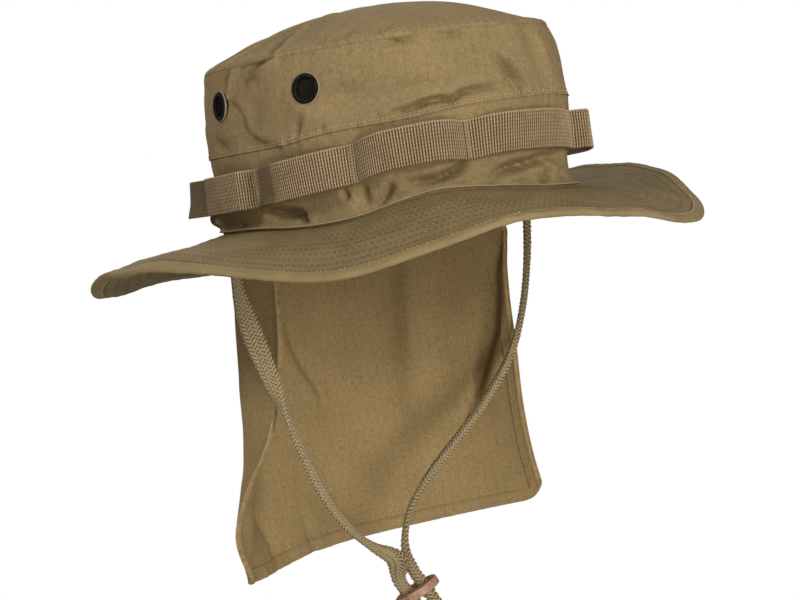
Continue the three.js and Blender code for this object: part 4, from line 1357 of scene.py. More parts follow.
@dataclass(frozen=True)
class Braid:
    """A flat tubular braid: strands wound both ways over two and under two, around a soft core."""

    strands: int = 8
    turn: float = 17.0
    yarn: float = 1.75
    thick: float = 1.25
    sides: int = 7
    core_sides: int = 20
    # The usual width over thickness, and shares of a strand's thickness: how deep its middle lies inside the
    # cord's section, how far it weaves over and under, and how far the core stays below it.
    flatness: float = 3.0
    inside: float = 0.55
    weave: float = 0.42
    below: float = 0.35
    # In the yarn's own coordinates, how far apart the strands lie and how far it is around one.
    apart: float = 37.0
    around: float = 3.2

    def make(self, name: str, line: Array, facing: Array, wide: Array, deep: Array, closed: bool) -> bpy.types.Object:
        """Braids a cord along a line.

        Args:
            name: The piece's name.
            line: The cord's middle line, evenly spaced.
            facing: The direction that its flat side faces at each point.
            wide: Its width at each point.
            deep: Its thickness at each point.
            closed: Whether its end joins its start.

        Returns:
            The object.
        """
        count = len(line)
        ahead = np.roll(line, -1, 0) - np.roll(line, 1, 0) if closed else np.gradient(line, axis=0)
        way = unit(ahead)
        out = unit(facing - way * np.sum(facing * way, -1, keepdims=True))
        across = np.cross(out, way)
        step = np.linalg.norm(line[1] - line[0])
        travel = np.arange(count) * step
        turn = self.turn
        if closed:
            turn = count * step / max(round(count * step / self.turn), 1)
        table = np.linspace(0, 2 * np.pi, 721)
        rim = travelled(joined(self.flatness * np.cos(table), np.sin(table)))
        rim /= rim[-1]

        def ring(share: Array, lift: Array) -> tuple[Array, Array]:
            """Points a share of the way around the section, and the directions they face."""
            angle = np.interp(np.mod(share, 1.0), rim, table)
            cos, sin = np.cos(angle)[..., None], np.sin(angle)[..., None]
            half, flat = ((size / 2)[:, None, None] - self.thick * self.inside for size in (wide, deep))
            outwards = unit(across[:, None] * cos * flat + out[:, None] * sin * half)
            place = line[:, None] + across[:, None] * cos * half + out[:, None] * sin * flat
            return place + outwards * lift[..., None], outwards

        order = np.arange(self.strands)[None, :]
        crossing = 2 * self.strands * travel[:, None] / turn
        strands = [ring(way_round * travel[:, None] / turn + order / self.strands,
                        way_round * self.weave * self.thick
                        * np.cos(np.pi * (2 * order + way_round * crossing) / 2 - np.pi / 4))
                   for way_round in (1, -1)]
        centres, normals = (np.concatenate(pair, 1).transpose(1, 0, 2) for pair in zip(*strands))
        core, _ = ring(np.linspace(0, 1, self.core_sides, endpoint=False)[None, :] + 0 * travel[:, None],
                       np.full((count, self.core_sides), -self.below * self.thick))
        return self.skin(name, centres, normals, core, closed)

    def skin(self, name: str, centres: Array, normals: Array, core: Array, closed: bool) -> bpy.types.Object:
        """Makes the mesh of the strands and the core.

        Args:
            name: The piece's name.
            centres: Each strand's middle line.
            normals: The directions that each strand faces along it.
            core: The core's rings.
            closed: Whether the cord's end joins its start.

        Returns:
            The object.
        """
        spin = np.linspace(0, 2 * np.pi, self.sides, endpoint=False)
        points, faces, uvs, fans, offset = [], [], [], [], 0
        for index in range(len(centres) + 1):
            if index < len(centres):
                centre, normal = centres[index], normals[index]
                ahead = np.roll(centre, -1, 0) - np.roll(centre, 1, 0) if closed else np.gradient(centre, axis=0)
                side = unit(np.cross(unit(ahead), normal))
                rings = (centre[:, None] + side[:, None] * (self.yarn / 2 * np.cos(spin))[None, :, None]
                         + normal[:, None] * (self.thick / 2 * np.sin(spin))[None, :, None])
            else:
                rings = core
            count, sides = rings.shape[:2]
            quads, places = grid_faces(count, sides, closed)
            along = travelled(rings[:, 0])
            along = np.append(along, along[-1] + 1.0) + self.apart * index
            coords = joined(along[places[..., 0]], places[..., 1] * self.around / sides)
            ends = np.zeros((0, 3), int)
            if not closed:
                around = np.arange(1, sides - 1)
                last = (count - 1) * sides
                ends = np.vstack([np.stack([np.zeros(sides - 2, int), around, around + 1], -1),
                                  np.stack([np.full(sides - 2, last), last + around + 1, last + around], -1)])
            if six_volumes(rings.reshape(-1, 3), quads) < 0:
                quads, coords = quads[:, ::-1], coords[:, ::-1]
            else:
                ends = ends[:, ::-1]
            points.append(rings.reshape(-1, 3))
            faces.append(quads + offset)
            fans.append(ends + offset)
            uvs.append(coords)
            offset += count * sides
        return mesh_piece(name, np.vstack(points), np.vstack(faces), np.concatenate(uvs), 80, np.vstack(fans))


@dataclass
class ChinCord:
    """The chin cord's two legs, its leather slider and the knot at its end."""

    # Half the distance between the legs in the slider, and the braid's width when laid flat.
    apart: float = 4.5
    flat: float = 8.0
    # The slider's middle, the way the legs run through it, and the way their flat sides face.
    middle: tuple[float, ...] = (-19.5, 4, -195.3)
    heading: tuple[float, ...] = (0.33, -0.31, -0.89)
    facing: tuple[float, ...] = (-0.68, -0.73, 0)
    bend: tuple[float, ...] = (-12.5, -2.6, -216)
    tail: tuple[float, ...] = (-11, -4.2, -228)
    right_route: tuple[tuple[float, ...], ...] = (
        (-102, 11, -3.2), (-102, 11, -28), (-99.5, 9, -48), (-95.5, 6, -68), (-90, 4, -90), (-83, 3, -112),
        (-73.5, 3, -134), (-61, 3, -153), (-45.5, 4, -166.5), (-30.5, 4.5, -176.5))
    left_route: tuple[tuple[float, ...], ...] = (
        (101, 3, -0.9), (93, 1, -34), (82.5, 0, -62), (70.5, 1, -84), (50, 2, -104), (25, 3, -122), (1, 4, -138),
        (-17, 4, -154), (-23.5, 4, -170))
    # The legs' sections: distance along, width, thickness, turn about the line.
    right_sections: Table = Table((
        (0, 4.0, 3.2, 0), (16, 4.6, 3.2, 0), (28, 7.6, 3.0, 0), (38, 10.0, 2.9, 0),
        (50, 10.8, 2.8, 0), (66, 9.8, 2.9, 14), (76, 8.9, 3.0, 30), (84, 7.0, 3.2, 60),
        (92, 5.6, 3.3, 85), (104, 6.0, 3.2, 105), (120, 6.4, 3.1, 120), (145, 6.2, 3.1, 124),
        (160, 5.6, 3.2, 110), (170, 5.0, 3.2, 100), (180, 5.4, 3.1, 130), (190, 8.0, 3.0, 160),
        (198, 10.4, 2.8, 176), (204, 9.6, 2.9, 180), (212, 7.0, 3.1, 180), (245, 6.8, 3.1, 180),
        (254, 5.0, 3.0, 180), (300, 5.0, 3.0, 180)), False)
    left_sections: Table = Table((
        (0, 4.4, 3.5, 0), (30, 4.4, 3.4, 20), (60, 4.0, 3.3, 60), (88, 4.6, 3.2, 20),
        (120, 4.9, 3.2, -10), (160, 5.2, 3.1, 0), (185, 4.6, 3.0, 40), (205, 4.4, 2.8, 80),
        (222, 5.4, 2.9, 30), (236, 6.8, 3.1, 0),
        (271, 6.8, 3.1, 0), (280, 5.0, 3.0, 0), (320, 5.0, 3.0, 0)), False)
    path_points: int = 38
    # The spacing of the cord's rings, and the braids of its legs and its knot.
    step: float = 0.8
    right_braid: Braid = Braid()
    left_braid: Braid = Braid(4, 8.8, 1.85)
    knot_braid: Braid = Braid(4, 8.8, 1.9)
    # The knot's line: a third of its half width, of its half height, its half length and its middle along the
    # cord; then its section's width and thickness, and how far its top reaches back over the legs' ends.
    knot_reach: tuple[float, float, float] = (2.05, 1.3, 3.9)
    knot_middle: float = 7.6
    knot_section: tuple[float, float] = (5.6, 4.2)
    sunk: float = 3.6
    slider_radius: float = 12.4
    slider_thickness: float = 4.4
    slider_slot: tuple[float, float] = (7.4, 3.9)
    slider_bevel: float = 0.75
    worn_rim: float = 1.9

    def across(self, way: Array) -> Array:
        """The direction from the right leg to the left one, where both run that way."""
        return unit(np.cross(np.array(self.facing), way))

    def route(self, side: Side) -> Array:
        """A leg's points, from its exit under the brim to the knot.

        Args:
            side: Which leg.

        Returns:
            The points.
        """
        middle, heading = np.array(self.middle), unit(np.array(self.heading))
        tail_way = unit(np.array(self.tail) - np.array(self.bend))
        sign = side.value * self.apart
        through = [middle + heading * along + sign * self.across(heading) for along in (-10, 0, 10)]
        ends = [np.array(point) + sign * self.across(tail_way) for point in (self.bend, self.tail)]
        own = self.right_route if side is Side.RIGHT else self.left_route
        return np.array([*map(np.array, own), *through, *ends], float)

    def leg(self, side: Side, material: bpy.types.Material) -> bpy.types.Object:
        """Args:
            side: Which leg.
            material: The cord's material.

        Returns:
            The leg.
        """
        line = Path3(self.route(side)).spaced(self.step)
        length = travelled(line)[-1]
        along = np.linspace(0, length, len(line))
        table = self.right_sections if side is Side.RIGHT else self.left_sections
        wide, deep, turn = (table.read(along, column) for column in (1, 2, 3))
        way = unit(np.gradient(line, axis=0))
        flat = unit(np.array(self.facing) - way * (way @ np.array(self.facing))[:, None])
        spin = np.radians(turn)[:, None]
        facing = flat * np.cos(spin) + np.cross(way, flat) * np.sin(spin)
        name = f"chin_cord_{side.name.lower()}"
        braid = self.right_braid if side is Side.RIGHT else self.left_braid
        piece = braid.make(f"{name}_braid", line, facing, wide, deep, False)
        keep(piece, Slot.CORD, material, name)
        LOG.info("%s is %.1f mm long", name, length)
        return piece

    def standing(self, place: Array, way: Array) -> Matrix:
        """The place of a piece made along +Z that stands where the legs run that way."""
        across = self.across(way)
        facing = np.cross(way, across)
        turn = Matrix((across, facing, way)).transposed().to_4x4()
        return Matrix.Translation(Vector(place * MM)) @ turn

    def slider(self, material: bpy.types.Material) -> bpy.types.Object:
        """Cuts the leather slider's disc, with a slot for each leg.

        Args:
            material: The leather.

        Returns:
            The slider.
        """
        bevel = self.slider_bevel
        curve = bpy.data.curves.new("leather_slider_outline", "CURVE")
        curve.dimensions, curve.fill_mode = "2D", "BOTH"
        depth = self.slider_thickness / 2 - bevel
        curve.extrude, curve.bevel_depth, curve.bevel_resolution, curve.offset = depth * MM, bevel * MM, 4, -bevel * MM
        loops = [(0.0, self.slider_radius, self.slider_radius, 96)]
        loops += [(sign * self.apart, self.slider_slot[0] / 2, self.slider_slot[1] / 2, 40) for sign in (-1, 1)]
        for middle, wide, high, count in loops:
            spline = curve.splines.new("POLY")
            spline.points.add(count - 1)
            spline.use_cyclic_u = True
            for index, point in enumerate(spline.points):
                turn = 2 * math.pi * index / count
                point.co = ((middle + wide * math.cos(turn)) * MM, high * math.sin(turn) * MM, 0.0, 1.0)
        outline = linked("outline", curve)
        mesh = evaluated(outline)
        bpy.data.objects.remove(outline)
        edit = bmesh.new()
        edit.from_mesh(mesh)
        bmesh.ops.remove_doubles(edit, verts=edit.verts, dist=2e-6)
        bmesh.ops.triangulate(edit, faces=[face for face in edit.faces if len(face.verts) > 4])
        bmesh.ops.recalc_face_normals(edit, faces=edit.faces)
        edit.to_mesh(mesh)
        edit.free()
        places = np.array([vertex.co for vertex in mesh.vertices]) / MM
        radius = np.hypot(places[:, 0], places[:, 1])
        mark(mesh, "rim", smooth((radius - self.slider_radius + self.worn_rim) / 1.5))
        places[:, 2] += 0.35 * np.sin(places[:, 0] / 6.0) - 0.02 * (places[:, 1] / 3.0) ** 2
        mesh.vertices.foreach_set("co", (places * MM).astype(np.float32).ravel())
        mesh.transform(self.standing(np.array(self.middle), unit(np.array(self.heading))))
        mesh.shade_smooth()
        mesh.set_sharp_from_angle(angle=math.radians(40))
        return keep(linked("leather_slider_disc", mesh), Slot.SLIDER, material, "leather_slider")

    def knot(self, material: bpy.types.Material) -> bpy.types.Object:
        """Ties the knot that holds both ends: a braid on a knot's own line.

        Args:
            material: The cord's material.

        Returns:
            The knot.
        """
        t = np.linspace(0, 2 * np.pi, 120, endpoint=False)
        wide, high, long = self.knot_reach
        line = joined(wide * (np.sin(t) + 2 * np.sin(2 * t)), high * (np.cos(t) - 2 * np.cos(2 * t)),
                      self.knot_middle - long * np.sin(3 * t))
        ring = np.vstack([line, line[:1]])
        length = travelled(ring)[-1]
        line = resampled(ring, np.linspace(0, length, int(length / self.step), endpoint=False))
        facing = unit(line - (0, 0, self.knot_middle) + (0, 0, 0.01))
        sizes = (np.full(len(line), size) for size in self.knot_section)
        piece = self.knot_braid.make("cord_knot_braid", line, facing, *sizes, True)
        tail = np.array(self.tail)
        way = unit(tail - np.array(self.bend))
        piece.data.transform(self.standing(tail - way * self.sunk, way))
        return keep(piece, Slot.CORD, material, "cord_knot")

    def build(self) -> None:
        """Makes the chin cord's pieces."""
        # The last number paints shade on each strand's sides and underside.
        yarn = YarnFinish("cord_yarn", (0.37, 0.28, 0.150), (0.050, 0.038, 0.017), 0.9, 0.25, 0.8).build()
        self.slider(LeatherFinish("slider_leather_finish").build())
        self.knot(yarn)
        for side in Side:
            self.leg(side, yarn)


# ------------------------------------------------------------------------------------------------
# Crown and its eyelets


@dataclass
class Crown:
    """The crown: its top panel, side and lower band, with their topstitching."""

    top_columns: int = 300
    side_columns: int = 480
    band_columns: int = 560
    hole: float = 6.2
    # The share of the top panel's reach where its edge starts to roll in, and where its stitches lie.
    top_roll: float = 0.978
    top_stitched: float = 0.965

    def place(self, angle: Array, height: Array) -> Array:
        """The cloth's own place on the side and band."""
        return joined(-angle * FORM.per_degree, height)

    def top(self, cloth: bpy.types.Material) -> bpy.types.Object:
        """Makes the top panel, whose edge rolls into its seam.

        Args:
            cloth: The ripstop.

        Returns:
            The panel.
        """
        def outer(angle: Array, out: Array) -> Array:
            """The panel's upper face."""
            roll = np.clip((out - self.top_roll) / (1 - self.top_roll), 0, 1)
            return FORM.dome(angle, out, 0.05 + (FORM.gap + FORM.cloth) * np.sqrt(1 - 0.999 * roll**2))

        def inner(angle: Array, out: Array) -> Array:
            """The panel's underside."""
            return FORM.dome(angle, out, FORM.gap * smooth((1 - out) / 0.02))

        def flat(angle: Array, out: Array) -> Array:
            """The cloth's own place on the panel."""
            radians = np.radians(angle)
            return joined(-FORM.top_side * out * np.sin(radians), -FORM.top_front * out * np.cos(radians))

        rows = np.concatenate([np.linspace(0, 0.95, 40), [0.965, 0.975, 0.983, 0.989, 0.994, 0.998, 1.0]])
        panel = wall_piece("crown_top_panel", outer, inner, full_turn(self.top_columns), rows, True, flat)
        return keep(weld(panel), Slot.CROWN, cloth, "crown_top")

    def side_face(self, angle: Array, height: Array) -> Array:
        """The side's outer face: it rolls in at the top seam and stands proud at the band."""
        roll = np.clip((height - FORM.top_seam + 1.5) / 1.5, 0, 1)
        up = height - FORM.band_seam.read(angle)
        ledge = 0.6 * (1 - smooth((up - 1.0) / 4.5)) - 0.45 * bell(up, 2.0, 0.8)
        return FORM.crown(angle, height, -0.2 * (1 - np.sqrt(1 - 0.98 * roll**2)) + ledge)

    def band_face(self, angle: Array, height: Array) -> Array:
        """The band's outer face: it rolls in at its top and folds over at the brim."""
        down = FORM.band_seam.read(angle) - height
        up = height - FORM.brim_seam.read(angle)
        roll = np.clip(1 - down / 1.2, 0, 1)
        return FORM.crown(angle, height, 1.5 * bell(up, 2.7, 0.8) - 0.15 * roll)

    def ring(self, name: str, face: Surface, low: Surface, high: Surface, columns: int, rows: Array,
             cloth: bpy.types.Material, node: str) -> bpy.types.Object:
        """Makes a ring of cloth between two seams.

        Args:
            name: The piece's name.
            face: Its outer face, by angle and height.
            low: Its lower seam's height, by angle.
            high: Its upper seam's height.
            columns: How many columns.
            rows: The rows' shares of the height.
            cloth: The ripstop.
            node: The CAD node that it stands for.

        Returns:
            The ring.
        """
        def height(angle: Array, v: Array) -> Array:
            """The height of a share of the ring."""
            return low(angle) + (high(angle) - low(angle)) * v

        piece = wall_piece(
            name, lambda a, v: face(a, height(a, v)), lambda a, v: FORM.crown(a, height(a, v), -FORM.cloth),
            full_turn(columns), rows, True, lambda a, v: self.place(a, height(a, v)))
        if node == "crown_side":
            self.cut_holes(piece)
        return keep(piece, Slot.CROWN, cloth, node)

    def cut_holes(self, piece: bpy.types.Object) -> None:
        """Cuts the hole behind each eyelet."""
        profile = [(0.001, -8), (self.hole, -8), (self.hole, 8), (0.001, 8)]
        for index, angle in enumerate(FORM.eyelet_angles):
            drill = weld(lathe_piece(f"drill_{index}", profile, Eyelets.standing(angle), 40))
            cut = piece.modifiers.new("vent", "BOOLEAN")
            cut.operation, cut.solver, cut.object = "DIFFERENCE", "MANIFOLD", drill
            mesh = evaluated(piece)
            piece.modifiers.remove(cut)
            piece.data = mesh
            bpy.data.objects.remove(drill)

    def stitches(self, thread: bpy.types.Material, edging: bpy.types.Material) -> None:
        """Sews the topstitching at the top seam and above the band, and the edging at the crown's foot.

        Args:
            thread: The topstitching's thread.
            edging: The edging's thread.
        """
        turn = np.linspace(-180, 180, 1800)
        rows = StitchRows("crown_topstitching", thread, Slot.CROWN, 2.1, 0.78, 0.6)
        rows.lay(self.side_face, turn, FORM.band_seam.read(turn) + 1.9, pitch=2.3, lift=0.12, slant=32, flip=-1)
        rows.lay(partial(FORM.dome, lift=FORM.gap + FORM.cloth), turn, self.top_stitched, pitch=2.6, lift=-0.05)
        rows.sew()
        edge = StitchRows("crown_foot_stitching", edging, Slot.CROWN, 1.9, 0.95, 0.7, 0.08, 12)
        edge.lay(self.band_face, turn, FORM.brim_seam.read(turn) + 2.6, pitch=1.35, lift=0.1, flip=-1)
        edge.sew()

    def build(self) -> None:
        """Makes the crown's pieces."""
        cloth = RipstopFinish("ripstop_cloth").build()
        seam, top = [0, 0.012, 0.024, 0.036, 0.05], [0.96, 0.972, 0.982, 0.99, 0.996, 1.0]
        rows = np.concatenate([seam, np.linspace(0.07, 0.94, 32), top])
        self.top(cloth)
        self.ring("crown_side_wall", self.side_face, FORM.band_seam.read,
                  lambda a: FORM.top_seam + 0 * a, self.side_columns, rows, cloth, "crown_side")
        rows = np.concatenate([np.linspace(0, 0.12, 10), np.linspace(0.14, 0.95, 30), [0.97, 0.98, 0.988, 0.995, 1.0]])
        self.ring("crown_band_wall", self.band_face, FORM.brim_seam.read, FORM.band_seam.read,
                  self.band_columns, rows, cloth, "crown_band")
        self.stitches(YarnFinish("crown_thread", (0.43, 0.325, 0.175), (0.22, 0.165, 0.082)).build(),
                      YarnFinish("edging_thread", (0.37, 0.275, 0.145), (0.27, 0.20, 0.10)).build())


@dataclass
class Eyelets:
    """The four vent eyelets: a lacquered ring and a wire screen each."""

    names: tuple[str, ...] = ("right_front", "right_rear", "left_front", "left_rear")
    # How far the flange stands off the crown's cloth, then the radii of the barrel, the flange and the screen.
    seat: float = 0.45
    barrel: float = 5.6
    flange: float = 7.7
    screen: float = 5.15
    # The wires' spacing and thickness, how far they are turned, and how deep they lie.
    pitch: float = 0.6
    wire: float = 0.38
    screen_turn: float = 20.0
    screen_depth: float = 0.2

    @staticmethod
    def standing(angle: float) -> Matrix:
        """The place of an eyelet made along +Z, square to the crown's cloth."""
        a, h = np.array([angle]), np.array([FORM.eyelet_height])
        around = FORM.crown(a - 1.5, h) - FORM.crown(a + 1.5, h)
        upwards = FORM.crown(a, h + 1.5) - FORM.crown(a, h - 1.5)
        normal = Vector(unit(np.cross(around, upwards))[0])
        spot = Vector(FORM.crown(a, h)[0] * MM)
        return Matrix.Translation(spot) @ Vector((0, 0, 1)).rotation_difference(normal).to_matrix().to_4x4()

    def ring(self, name: str, angle: float, lacquer: bpy.types.Material) -> bpy.types.Object:
        """Turns one ring: a rolled flange on a barrel.

        Args:
            name: The eyelet's name.
            angle: Its angle around the hat.
            lacquer: Its finish.

        Returns:
            The ring.
        """
        inner, seat = self.barrel - 0.5, self.seat
        turn = np.linspace(0, np.pi, 11)
        middle, half = (inner + self.flange) / 2, (self.flange - inner) / 2
        rolled = [(middle + half * math.cos(t), seat - 0.2 + 1.05 * max(math.sin(t), 0.0) ** 0.6) for t in turn]
        profile = [(self.barrel, -2.6), (self.barrel, seat - 0.25), (self.flange - 0.3, seat - 0.25)] + rolled
        profile += [(inner, -2.2), (inner + 0.1, -2.55)]
        piece = lathe_piece(f"eyelet_{name}_ring", profile, self.standing(angle))
        return keep(piece, Slot.METAL, lacquer, f"eyelet_ring_{name}")

    def mesh_screen(self, name: str, angle: float, finish: bpy.types.Material) -> bpy.types.Object:
        """Weaves one round screen of crossing wires.

        Args:
            name: The eyelet's name.
            angle: Its angle around the hat.
            finish: The wires' finish.

        Returns:
            The screen.
        """
        w = Weaver(f"screen_{name}", finish, {"Radius": self.screen, "Pitch": self.pitch, "Wire": self.wire})
        radius, pitch, wire = (w.given(label) for label in ("Radius", "Pitch", "Wire"))
        count = w.math("MULTIPLY_ADD", w.math("DIVIDE", radius, pitch), 2.0, -1.0)
        count = w.out("FunctionNodeFloatToInt", {0: count}, rounding_mode="ROUND")
        first = w.times(w.math("MULTIPLY_ADD", count, -0.5, 0.5), pitch)
        line = w.out("GeometryNodeMeshLine", {"Count": count, "Start Location": w.xyz(x=first),
                                              "Offset": w.xyz(x=pitch)}, mode="OFFSET")
        x = w.out("ShaderNodeSeparateXYZ", {0: w.out("GeometryNodeInputPosition")})
        chord = w.math("POWER", w.minus(w.math("POWER", radius, 2.0), w.times(x, x)), 0.5)
        bar = w.out("GeometryNodeMeshCylinder", {"Vertices": 6, "Radius": 0.5, "Depth": 2.0}, fill_type="NGON")
        wires = w.out("GeometryNodeInstanceOnPoints",
                      {"Points": line, "Instance": bar, "Scale": w.xyz(x=wire, y=wire, z=chord),
                       "Rotation": (math.pi / 2, 0.0, 0.0)})
        crossed = w.out("GeometryNodeTransform", {"Geometry": wires, "Translation": w.xyz(z=w.times(wire, -0.75)),
                                                  "Rotation": (0.0, 0.0, math.pi / 2)})
        both = w.add("GeometryNodeJoinGeometry", {0: wires})
        w.join(crossed, both.inputs[0])
        w.finish(both.outputs[0])
        base = bpy.data.meshes.new("screen_seat")
        base.vertices.add(1)
        piece = w.run(f"eyelet_{name}_screen", base)
        turned = Matrix.Rotation(math.radians(self.screen_turn), 4, "Z")
        piece.data.transform(self.standing(angle) @ turned @ Matrix.Translation((0, 0, -self.screen_depth * MM)))
        return keep(piece, Slot.SCREEN, finish, f"eyelet_screen_{name}")

    def build(self) -> None:
        """Makes the eyelets."""
        # worn places the painted highlight on the rings' rolled rims.
        lacquer = LacquerFinish("black_lacquer", worn=(2.5, 4.7)).build()
        wire = LacquerFinish("screen_wire", (0.010, 0.008, 0.006), (0.02, 0.016, 0.012), 0.5).build()
        for name, angle in zip(self.names, FORM.eyelet_angles):
            self.ring(name, angle, lacquer)
            self.mesh_screen(name, angle, wire)


# ------------------------------------------------------------------------------------------------
# Brim


@dataclass
class Brim:
    """The brim, quilted by rows of stitches, and the binding around its edge."""

    columns: int = 480
    bound_columns: int = 540
    thickness: float = 2.0
    bound_thickness: float = 3.0
    binding: float = 5.6
    mean_reach: float = 65.15
    # Millimetres of cloth to a degree around the brim's and the binding's middle.
    per_degree: float = 2.2
    bound_per_degree: float = 2.6
    # How deep and how wide the rows of stitches draw the cloth in, and how far each row starts after the last.
    row_depth: float = 0.34
    row_width: float = 0.85
    row_shift: float = 0.37
    row_marks: tuple[float, ...] = (0.06, 0.145, 0.23, 0.315, 0.4, 0.485, 0.57, 0.655, 0.74, 0.825)
    creases: tuple[Crease, ...] = Strewing(44, 12, (-180, 180), (8, 50), (14, 34), (3, 6), 0.5).creases(per_degree)
    slack: Ripple = Ripple(0.07, 42, (40, 110), 9)
    pucker: Ripple = Ripple(0.10, 43, (60, 140))

    @property
    def binding_start(self) -> float:
        """The share of the brim's reach where the binding starts."""
        return 1 - self.binding / self.mean_reach

    def face(self, angle: Array, out: Array, sign: float = 1.0) -> Array:
        """The brim's upper face, or with sign -1 its underside, sunk along the stitch rows."""
        reach = out * self.mean_reach
        sunk = sum(bell((out - row) * self.mean_reach, 0.0, self.row_width) for row in self.row_marks)
        lift = sign * (self.thickness / 2 - self.row_depth * sunk)
        lift = lift + creased(self.creases, angle * self.per_degree, reach, self.per_degree, TURN * self.per_degree)
        lift = lift + self.slack.at(angle, reach) * smooth(out * 8)
        return FORM.brim(angle, out, lift)

    def place(self, angle: Array, out: Array) -> Array:
        """The cloth's own place on the brim."""
        return joined(-angle * self.per_degree, out * self.mean_reach)

    def panel(self, cloth: bpy.types.Material) -> bpy.types.Object:
        """Makes the brim's cloth."""
        rows = np.linspace(0, self.binding_start - 0.03 / self.mean_reach, 58)
        piece = wall_piece("brim_cloth_panel", self.face, partial(self.face, sign=-1.0),
                           full_turn(self.columns), rows, True, self.place)
        return keep(piece, Slot.BRIM, cloth, "brim")

    def edge(self, cloth: bpy.types.Material) -> bpy.types.Object:
        """Folds the binding around the brim's edge: a flat strip with a rounded rim.

        Args:
            cloth: The binding's cloth.

        Returns:
            The binding.
        """
        half, columns, tucked = self.bound_thickness / 2, self.bound_columns, 0.6
        round_start = 1 - half / self.mean_reach
        flat = np.linspace(self.binding_start, round_start, 6)
        bend = np.linspace(np.pi / 2, -np.pi / 2, 9)[1:-1]
        outs = np.concatenate([flat, round_start + (1 - round_start) * np.cos(bend), flat[::-1]])
        lifts = np.concatenate([np.full(6, half), half * np.sin(bend), np.full(6, -half)])
        lifts[0], lifts[-1] = half - tucked, tucked - half
        angles = full_turn(columns)[:, None]
        reach = np.broadcast_to(outs, (columns, len(outs)))
        swell = 1 + self.pucker.at(angles)
        grid = FORM.brim(np.broadcast_to(angles, reach.shape), reach, lifts * swell)
        around = -np.append(angles, angles[0] + TURN) * self.bound_per_degree
        down = travelled(joined(outs * self.mean_reach, lifts))
        u, v = np.meshgrid(around, np.append(down, down[-1] + 2.6), indexing="ij")
        piece = tube_piece("brim_edge_binding", grid, joined(u, v))
        return keep(piece, Slot.BRIM, cloth, "brim_binding")

    def stitches(self, thread: bpy.types.Material, binding_thread: bpy.types.Material) -> None:
        """Sews the brim's rows on both faces, and the row that holds the binding.

        Args:
            thread: The rows' thread.
            binding_thread: The thread that holds the binding.
        """
        turn = np.linspace(-180, 180, 2400)
        for name, sign, seed in (("brim_stitching", 1, 7), ("brim_underside_stitching", -1, 8)):
            rows = StitchRows(name, thread, Slot.BRIM, 2.2, 0.62, 0.5, seed=seed)
            for index, out in enumerate(self.row_marks):
                rows.lay(partial(self.face, sign=sign), turn + index * self.row_shift, out,
                         pitch=3.1, lift=0.05, flip=-sign)
            rows.sew()
        held = self.binding_start + 0.8 / self.mean_reach
        edge = StitchRows("brim_binding_stitching", binding_thread, Slot.BRIM, 2.1, 0.75, 0.55, seed=10)
        for sign in (1, -1):
            edge.lay(partial(FORM.brim, lift=sign * self.bound_thickness / 2), turn, held,
                     pitch=2.3, lift=0.14, slant=35, flip=-sign)
        edge.sew()

    def build(self) -> None:
        """Makes the brim's pieces."""
        apart = (self.row_marks[1] - self.row_marks[0]) * self.mean_reach
        # quilted also places the painted shade along the stitched rows.
        self.panel(PlainClothFinish("brim_plain_cloth", quilted=(self.row_marks[0] * self.mean_reach, apart)).build())
        self.edge(PlainClothFinish("binding_cloth", (0.268, 0.192, 0.090), (0.225, 0.163, 0.076)).build())
        self.stitches(YarnFinish("brim_thread", (0.41, 0.31, 0.16), (0.26, 0.195, 0.095)).build(),
                      YarnFinish("binding_thread", (0.42, 0.32, 0.17), (0.27, 0.20, 0.10)).build())


# ------------------------------------------------------------------------------------------------
# Webbing


